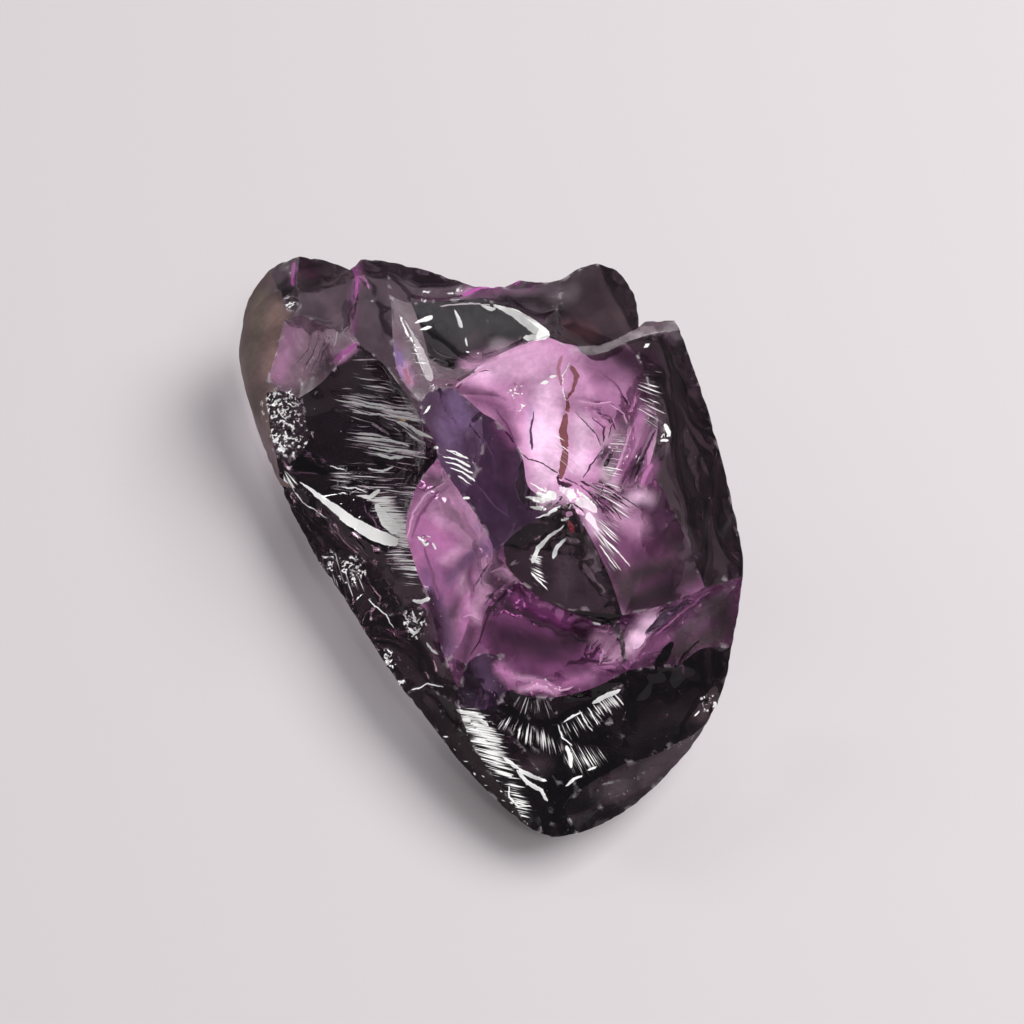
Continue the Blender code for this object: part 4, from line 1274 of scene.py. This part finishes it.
# %% Ridges that catch no painted glint, and the dark rim
UNLIT_RIDGES = [
    # The lines of ridges that fade into the dark and catch no light.
    [(604, 545), (612, 580), (618, 615)],
    [(683, 520), (694, 560), (704, 590)],
    [(498, 612), (510, 609), (524, 618)],
]
SHADOW_SIDE = [(175, 400), (300, 600), (400, 715), (550, 865)]
RIM_REACH = 9.0  # Within so many mm of that line the underside holds back the lamps too.
UNLIT_REACH = 0.9
RIDGE_LINE = 0.09
print("worn ridges:", len(UNLIT_RIDGES))


# %% Paint every corner
def store(name, kind, rows):
    """Keeps one row of numbers for every corner of the stone, under a name."""
    layer = stone.data.attributes.new(name, kind, "CORNER")
    layer.data.foreach_set("vector" if kind == "FLOAT_VECTOR" else "color", rows.ravel())


finish = [FINISH.get(name, SIDE_FINISH) for name in SCARS]
tint = np.array([TINTS[row[0]] for row in finish])[scars][corner_face]
rough = np.array([row[1] for row in finish])[scars][corner_face]
lamps = np.array([name not in DARK_TO_LAMPS for name in SCARS], float)[scars][corner_face]
rim = soft(away_from_line(point_spots, SHADOW_SIDE), RIM_REACH) * ~point_up
lamps *= 1 - rim[corner_point]
corner_scar = scars[corner_face]
for line, reach, colour, power in PAINT:
    dab = soft(away_from_line(point_spots, line), reach) * point_up * power
    dab = (dab[corner_point] * np.isin(corner_scar, scars_under(line)))[:, None]
    tint = tint * (1 - dab) + np.array(TINTS[colour]) * dab

crushed = np.zeros(len(points))
for place, reach, _, _, white in CRUSHED.values():
    crushed = np.maximum(crushed, soft(away_from_line(point_spots, [place]), reach) * point_up * white)
# A ridge is whitened along its line: partly worn and chipped, partly a painted glint where the edge catches
# light.
ridge = np.exp(-((from_ridge / RIDGE_LINE) ** 2))
for line in UNLIT_RIDGES:
    ridge *= 1 - soft(away_from_line(point_spots, line), UNLIT_REACH)
store("tint", "FLOAT_COLOR", np.column_stack([tint[:, :3], lamps]))
crush_wear_and_glint = np.column_stack([crushed, ridge])[corner_point]
store("finish", "FLOAT_COLOR", np.column_stack([rough, tint[:, 3], crush_wear_and_glint]))
print("painted corners:", len(corner_point))

# %% [markdown]
# ## Combs and streaks for the material
#
# The steps of a comb are finer than the mesh. So each corner stores how far across and along the
# steps it lies and how thick they stand, and the material draws them white as painted highlights.
# A streak is kept in the same way: how far to its side a corner lies, how far along, and how wide
# the streak is there.
# Each face takes the comb and the streak nearest to its middle, so that no face mixes two.

# %% Store the combs
COMBED = 0.05  # The power from which a corner is counted as combed.

face_spots, _ = middles_of(stone.data)
corner_spots = point_spots[corner_point]
corner_up = point_up[corner_point]
thick = np.zeros((len(COMBS), len(face_spots)))
for number, (line, *_) in enumerate(COMBS.values()):
    thick[number] = comb_at(face_spots, number)[2] * np.isin(scars, scars_under(line))
nearest = np.where(thick.max(axis=0) > 0, thick.argmax(axis=0), -1)
comb = np.zeros((len(corner_spots), 3))
for number in range(len(COMBS)):
    mine = (nearest[corner_face] == number) & corner_up
    comb[mine] = np.column_stack(comb_at(corner_spots[mine], number))
store("comb", "FLOAT_VECTOR", comb)
print("combed corners:", int((comb[:, 2] > COMBED).sum()))

# %% The parts of streaks
parts = []
for line, width, kind in STREAKS.values():
    before = 0
    total = sum(math.dist(*pair) for pair in zip(line, line[1:])) / PIXELS_PER_MM
    widths = np.broadcast_to(width, 2) / PIXELS_PER_MM
    for start, end in zip(line, line[1:]):
        parts.append((start, end, before, total, widths, TINTS[kind]))
        before += math.dist(start, end) / PIXELS_PER_MM
print("straight parts of streaks:", len(parts))

# %% Store the streaks
gaps = [away_from_line(face_spots, part[:2]) - part[4].mean() for part in parts]
nearest = np.argmin(gaps, axis=0)
streak = np.zeros((len(corner_spots), 3))
streak_tint = np.zeros((len(corner_spots), 4))
for number, (start, end, before, total, widths, kind) in enumerate(parts):
    mine = (nearest[corner_face] == number) & corner_up
    across, along = across_and_along(corner_spots[mine], np.array(start), np.array(end))
    share = np.clip((along + before) / total, 0, 1)
    # A streak is full for most of its length and comes to a point at both ends.
    taper = np.sqrt(np.sqrt(4 * share * (1 - share)))
    width = widths[0] + (widths[1] - widths[0]) * share
    close = np.abs(across) < np.abs(width) + 2 * CLOSE
    streak[mine] = np.column_stack([across, along + before, width * taper * close])
    streak_tint[mine] = kind
store("streak", "FLOAT_VECTOR", streak)
store("streak_tint", "FLOAT_COLOR", streak_tint)
print("streaked corners:", int((streak[:, 2] != 0).sum()))

# %% [markdown]
# ## The glass of the stone
#
# The material is clear: plain transmission, a bend of light near that of this mineral, and a body
# that soaks up green. Lamps shine through it in part, so its shadow is grey and soft and the
# table under it is lit. The tint with its painted light and shade, the cloudiness, and the steps
# with their painted highlights come from the attributes above.

# %% Material helpers
class Finish:
    """A material and short ways to add and join its nodes."""

    def __init__(self, name):
        self.material = bpy.data.materials.new(name)
        self.material.use_nodes = True
        self.nodes = self.material.node_tree.nodes
        self.surface = self.nodes["Principled BSDF"]
        self.output = self.nodes["Material Output"]

    def join(self, outlet, inlet):
        """Runs a wire from an outlet to an inlet."""
        self.material.node_tree.links.new(outlet, inlet)

    def add(self, kind, inputs=None, **settings):
        """A new node. An input is either a number or the outlet that feeds it."""
        made = self.nodes.new(kind)
        for name, value in settings.items():
            setattr(made, name, value)
        for name, value in (inputs or {}).items():
            if isinstance(value, bpy.types.NodeSocket):
                self.join(value, made.inputs[name])
            else:
                made.inputs[name].default_value = value
        return made

    def maths(self, operation, *values, clamp=False):
        """The outlet of a sum, a product or the like."""
        made = self.add("ShaderNodeMath", dict(enumerate(values)), operation=operation)
        made.use_clamp = clamp
        return made.outputs[0]

    def ramp(self, value, start, end, low=0.0, high=1.0):
        """An outlet that rises softly from low to high as the value goes from start to end."""
        made = self.add("ShaderNodeMapRange", interpolation_type="SMOOTHSTEP")
        self.join(value, made.inputs["Value"])
        for name, number in zip(("From Min", "From Max", "To Min", "To Max"), (start, end, low, high)):
            made.inputs[name].default_value = number
        return made.outputs["Result"]

    def mix_colour(self, share, one, other):
        """The outlet of a colour between one and the other."""
        made = self.add("ShaderNodeMix", data_type="RGBA")
        for socket, value in zip((made.inputs[0], made.inputs[6], made.inputs[7]), (share, one, other)):
            if isinstance(value, bpy.types.NodeSocket):
                self.join(value, socket)
            else:
                socket.default_value = value
        return made.outputs[2]

    def noise(self, place, scale, detail=2.0):
        """An outlet of smooth noise, with so many lumps to one unit of place."""
        made = self.add("ShaderNodeTexNoise", {"Vector": place, "Scale": scale, "Detail": detail})
        return made.outputs[0]

    def bump(self, height, depth_mm, normal=None):
        """The outlet of a normal that a height bends, on top of an earlier one."""
        made = self.add("ShaderNodeBump", {"Height": height, "Distance": depth_mm * MM})
        if normal:
            self.join(normal, made.inputs["Normal"])
        return made.outputs["Normal"]


glass = Finish("violet_crystal")
print("new material:", glass.material.name)

# %% Read what was painted
place = glass.add("ShaderNodeTexCoord").outputs["Object"]
in_mm = glass.add("ShaderNodeVectorMath", {0: place, "Scale": 1 / MM}, operation="SCALE").outputs[0]
tint_read = glass.add("ShaderNodeAttribute", attribute_name="tint")
finish_read = glass.add("ShaderNodeAttribute", attribute_name="finish")
kinds = glass.add("ShaderNodeSeparateColor", {0: finish_read.outputs["Color"]})
rough_read, cloud_read, crush_read = kinds.outputs
ridge_read = finish_read.outputs["Alpha"]
comb_read = glass.add("ShaderNodeAttribute", attribute_name="comb").outputs["Vector"]
comb_power = glass.add("ShaderNodeSeparateXYZ", {0: comb_read}).outputs[2]
streak_read = glass.add("ShaderNodeAttribute", attribute_name="streak").outputs["Vector"]
streak_across, _, streak_width = glass.add("ShaderNodeSeparateXYZ", {0: streak_read}).outputs
streak_tint = glass.add("ShaderNodeAttribute", attribute_name="streak_tint")
print("nodes that read the stone:", len(glass.nodes))

# %% The steps of combs, painted white as highlights
# A step that whitens is a painted highlight: its flash of light is painted white.
STEP_LENGTH = 3.0  # How much longer than wide a step is.
STEP_BAR = (0.62, 0.76)  # The noise at which a step begins to whiten, and at which it is white.
BAR_DROP = 0.21  # How far a comb's power of one lowers that bar.
COMB_EDGE = (0.02, 0.15)  # The power at which a comb begins, and at which it is whole.

squeezed = glass.add(
    "ShaderNodeVectorMath", {0: comb_read, 1: (1, 1 / STEP_LENGTH, 0)}, operation="MULTIPLY"
).outputs[0]
steps = glass.noise(squeezed, 1.0)
level = glass.maths("ADD", steps, glass.maths("MULTIPLY", comb_power, BAR_DROP))
step_glint_mask = glass.maths("MULTIPLY", glass.ramp(level, *STEP_BAR), glass.ramp(comb_power, *COMB_EDGE))
step_height = glass.maths("MULTIPLY", steps, glass.maths("MINIMUM", comb_power, 1.0))
print("nodes with the combs:", len(glass.nodes))

# %% Streaks with wavering edges
HALF = 0.5  # The middle of Blender's noise, which runs from 0 to 1.
WAVER = (2.4, 6.0)  # The waves to one mm, and their detail.
WAVER_MM = 0.22
STREAK_EDGE = (-0.012, 0.02)  # How far inside its edge a streak begins, and where it is whole, in mm.
LEAST_STREAK = (0.0, 0.01)

wobble = glass.maths("SUBTRACT", glass.noise(in_mm, *WAVER), HALF)
wobble = glass.maths("MULTIPLY", wobble, WAVER_MM)
off_line = glass.maths("ABSOLUTE", glass.maths("ADD", streak_across, wobble))
inside = glass.maths("SUBTRACT", streak_width, off_line)
streaked = glass.ramp(inside, *STREAK_EDGE)
streaked = glass.maths("MULTIPLY", streaked, glass.ramp(streak_width, *LEAST_STREAK))
print("nodes with the streaks:", len(glass.nodes))

# %% Crumbs, ridges and dust: crushed and worn white with painted glints, and dust
CURLS_PER_MM = 2.1
GATES_PER_MM = 2.4
CURL_WIDTH = (0.08, 0.045)  # How far from the noise's middle a curl ends, and where it is whole.
CRUMB_BAR = (0.60, 0.66)  # The noise at which a crumb begins, and at which it is white.
CRUMB_DROP = 0.22  # How far a place that is wholly crushed lowers that bar.
CRUSHED_EDGE = (0.05, 0.3)
RIDGE_SPOTS = (1.3, 3.0)
RIDGE_SPOT_BAR = (0.54, 0.66)
DUST_PER_MM = 2.2
SPECK = (0.11, 0.05)  # Where a speck of dust ends, and where it is whole, in cells of the pattern.
FEW_SPECKS = (0.62, 0.95)
DUST_WHITE, RIDGE_WHITE = 0.45, 0.42

curls = glass.maths("ABSOLUTE", glass.maths("SUBTRACT", glass.noise(in_mm, CURLS_PER_MM), HALF))
curl_gate = glass.noise(in_mm, GATES_PER_MM)
curl_gate = glass.maths("ADD", curl_gate, glass.maths("MULTIPLY", crush_read, CRUMB_DROP))
crumb_white_and_glint = glass.maths("MULTIPLY", glass.ramp(curls, *CURL_WIDTH), glass.ramp(curl_gate, *CRUMB_BAR))
crumb_white_and_glint = glass.maths("MULTIPLY", crumb_white_and_glint, glass.ramp(crush_read, *CRUSHED_EDGE))

# Ridges show white in spots, partly as worn chips and partly as painted glints of light.
edge_noise = glass.noise(in_mm, *RIDGE_SPOTS)
ridge_wear_and_glint = glass.maths("MULTIPLY", glass.ramp(edge_noise, *RIDGE_SPOT_BAR), ridge_read)

dust = glass.add("ShaderNodeTexVoronoi", {"Vector": in_mm, "Scale": DUST_PER_MM})
dust_shade = glass.add("ShaderNodeSeparateColor", {0: dust.outputs["Color"]}).outputs[0]
speck = glass.ramp(dust.outputs["Distance"], *SPECK)
speck = glass.maths("MULTIPLY", speck, glass.ramp(dust_shade, *FEW_SPECKS))

# All the white drawn over the tint: painted highlights of steps, crumbs and ridges, together with the
# stone's own dust and crushed white.
frost = glass.maths("MAXIMUM", step_glint_mask, crumb_white_and_glint)
frost = glass.maths("MAXIMUM", frost, glass.maths("MULTIPLY", speck, DUST_WHITE))
frost = glass.maths("MAXIMUM", frost, glass.maths("MULTIPLY", ridge_wear_and_glint, RIDGE_WHITE), clamp=True)
print("nodes with all that is frosted:", len(glass.nodes))

# %% Colour
GLINT_AND_DUST_WHITE = (1.0, 0.985, 0.97, 1)
CLOUDS = (0.45, 4.0)  # How many to one mm, and their detail.
GRAINS = (3.0, 5.0)
VEIL = (0.32, 0.68, 0.72, 1.2)  # Between two values of noise the tint goes between two shares.
GRIT = (0.3, 0.7, 0.9, 1.08)

clouds = glass.noise(in_mm, *CLOUDS)
grit = glass.ramp(glass.noise(in_mm, *GRAINS), *GRIT)
shade = glass.maths("MULTIPLY", glass.ramp(clouds, *VEIL), grit)
grey = glass.add("ShaderNodeCombineColor", {0: shade, 1: shade, 2: shade}).outputs[0]
mottled = glass.add("ShaderNodeMix", data_type="RGBA", blend_type="MULTIPLY")
glass.join(tint_read.outputs["Color"], mottled.inputs[6])
glass.join(grey, mottled.inputs[7])
mottled.inputs[0].default_value = 1.0
colour = glass.mix_colour(streaked, mottled.outputs[2], streak_tint.outputs["Color"])
colour = glass.mix_colour(frost, colour, GLINT_AND_DUST_WHITE)
glass.join(colour, glass.surface.inputs["Base Color"])
print("nodes with the colour:", len(glass.nodes))

# %% Clearness, roughness and bump
BEND_OF_LIGHT = 1.70
WHITE_ROUGH = 0.25
GRAIN = (4.0, 4.0)
GRAIN_MM, CURL_MM, STEP_MM = 0.03, 0.25, 0.14  # How high each kind of bump stands.

cloudy = glass.add("ShaderNodeMix", {0: streaked, 2: cloud_read, 3: streak_tint.outputs["Alpha"]}).outputs[0]
cloudy = glass.maths("MAXIMUM", cloudy, frost, clamp=True)
clear = glass.maths("SUBTRACT", 1.0, cloudy)
glass.join(clear, glass.surface.inputs["Transmission Weight"])
roughness = glass.maths("ADD", rough_read, glass.maths("MULTIPLY", frost, WHITE_ROUGH), clamp=True)
glass.join(roughness, glass.surface.inputs["Roughness"])
glass.surface.inputs["IOR"].default_value = BEND_OF_LIGHT

grain = glass.noise(in_mm, *GRAIN)
normal = glass.bump(glass.maths("MULTIPLY", grain, cloud_read), GRAIN_MM)
normal = glass.bump(glass.maths("MULTIPLY", curls, crush_read), CURL_MM, normal)
normal = glass.bump(step_height, STEP_MM, normal)
glass.join(normal, glass.surface.inputs["Normal"])
print("nodes with the bump:", len(glass.nodes))

# %% Lamps and the body
LET_THROUGH = (0.985, 1.0, 0.988, 1)
HELD_BACK = (0.10, 0.102, 0.10, 1)
BODY_COLOUR = (0.80, 0.50, 0.74, 1)
BODY_DENSITY = 22

lamp_ray = glass.add("ShaderNodeLightPath").outputs["Is Shadow Ray"]
lamp_tint = glass.mix_colour(tint_read.outputs["Alpha"], HELD_BACK, LET_THROUGH)
let_through = glass.add("ShaderNodeBsdfTransparent", {0: lamp_tint}).outputs[0]
either = glass.add("ShaderNodeMixShader", {0: lamp_ray, 1: glass.surface.outputs[0], 2: let_through})
glass.join(either.outputs[0], glass.output.inputs["Surface"])
body = glass.add("ShaderNodeVolumeAbsorption", {"Color": BODY_COLOUR, "Density": BODY_DENSITY})
glass.join(body.outputs[0], glass.output.inputs["Volume"])
print("material nodes:", len(glass.nodes))

# %% Hand the piece over
stone.data.materials.clear()
stone.data.materials.append(glass.material)
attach(stone, "root")
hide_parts("rough_alexandrite")
print("the stone rides on root, with material:", stone.data.materials[0].name)

# %% [markdown]
# ## Table and light
#
# The stone lies on a pale table. One large softbox stands behind it to the right and gives the
# soft shadow to the lower left, and weaker panels lift the other sides. A broken face would
# mirror a lamp as a white oval, so only the narrow panel at the back is left for the faces to
# mirror. The room is kept dark, so that the stone stays deep. The camera alone sees it pale,
# which gives a low view a pale background.

# %% Table
TABLE_SIZE = 0.7
TABLE_TOP = -0.05 * MM
PAPER = (0.69, 0.645, 0.662, 1)
PAPER_IN_MIRROR = (0.20, 0.18, 0.19, 1)

bpy.ops.object.select_all(action="DESELECT")
bpy.ops.mesh.primitive_plane_add(size=TABLE_SIZE, location=(0, 0, TABLE_TOP))
table = bpy.context.object
table.name = "table"
paper = Finish("pale_paper")
ray = paper.add("ShaderNodeLightPath").outputs
mirrored = paper.maths("SUBTRACT", ray["Is Glossy Ray"], ray["Is Transmission Ray"], clamp=True)
paper.join(paper.mix_colour(mirrored, PAPER, PAPER_IN_MIRROR), paper.surface.inputs["Base Color"])
paper.surface.inputs["Roughness"].default_value = 0.9
table.data.materials.append(paper.material)
print("table, m:", [round(side, 2) for side in table.dimensions[:2]])

# %% Lights
PANELS = {
    # Azimuth and height in degrees, distance and width in metres, watts.
    "softbox": (22, 52, 0.55, 0.36, 2.9),
    "fill": (335, 62, 0.55, 0.36, 0.8),
    "back panel": (113, 49, 0.50, 0.03, 0.06),
    "left panel": (163, 24, 0.50, 0.14, 0.42),
    "top panel": (-58, 66, 0.60, 0.06, 0.25),
}
MIRRORED = "back panel"
LIT_POINT = Vector((0, 0, 8 * MM))


def light_panel(name, azimuth, height, distance, width, watts):
    """A square panel that faces the stone."""
    turn, rise = math.radians(azimuth), math.radians(height)
    way = Vector((math.cos(turn) * math.cos(rise), math.sin(turn) * math.cos(rise), math.sin(rise)))
    bpy.ops.object.light_add(type="AREA", location=way * distance + LIT_POINT)
    panel = bpy.context.object
    panel.name = name
    panel.data.size = width
    panel.data.energy = watts
    panel.rotation_euler = way.to_track_quat("Z", "Y").to_euler()
    panel.visible_glossy = name == MIRRORED


for name, numbers in PANELS.items():
    light_panel(name, *numbers)
print("lamps:", len(PANELS))

# %% The room
ROOM = (0.93, 0.94, 1.0, 1)
ROOM_STRENGTH = 0.09
ROOM_SEEN = (0.70, 0.67, 0.68, 1)

world = bpy.data.worlds.new("room")
bpy.context.scene.world = world
world.use_nodes = True
nodes = world.node_tree.nodes
room = nodes["Background"]
room.inputs["Color"].default_value = ROOM
room.inputs["Strength"].default_value = ROOM_STRENGTH
seen_room = nodes.new("ShaderNodeBackground")
seen_room.inputs["Color"].default_value = ROOM_SEEN
chosen = nodes.new("ShaderNodeMixShader")
ray_kind = nodes.new("ShaderNodeLightPath")
joined = world.node_tree.links
joined.new(ray_kind.outputs["Is Camera Ray"], chosen.inputs[0])
joined.new(room.outputs[0], chosen.inputs[1])
joined.new(seen_room.outputs[0], chosen.inputs[2])
joined.new(chosen.outputs[0], nodes["World Output"].inputs["Surface"])
bpy.context.scene.view_settings.view_transform = "Standard"
bpy.context.scene.cycles.caustics_refractive = False
bpy.context.scene.cycles.caustics_reflective = False
print("room nodes:", len(nodes))
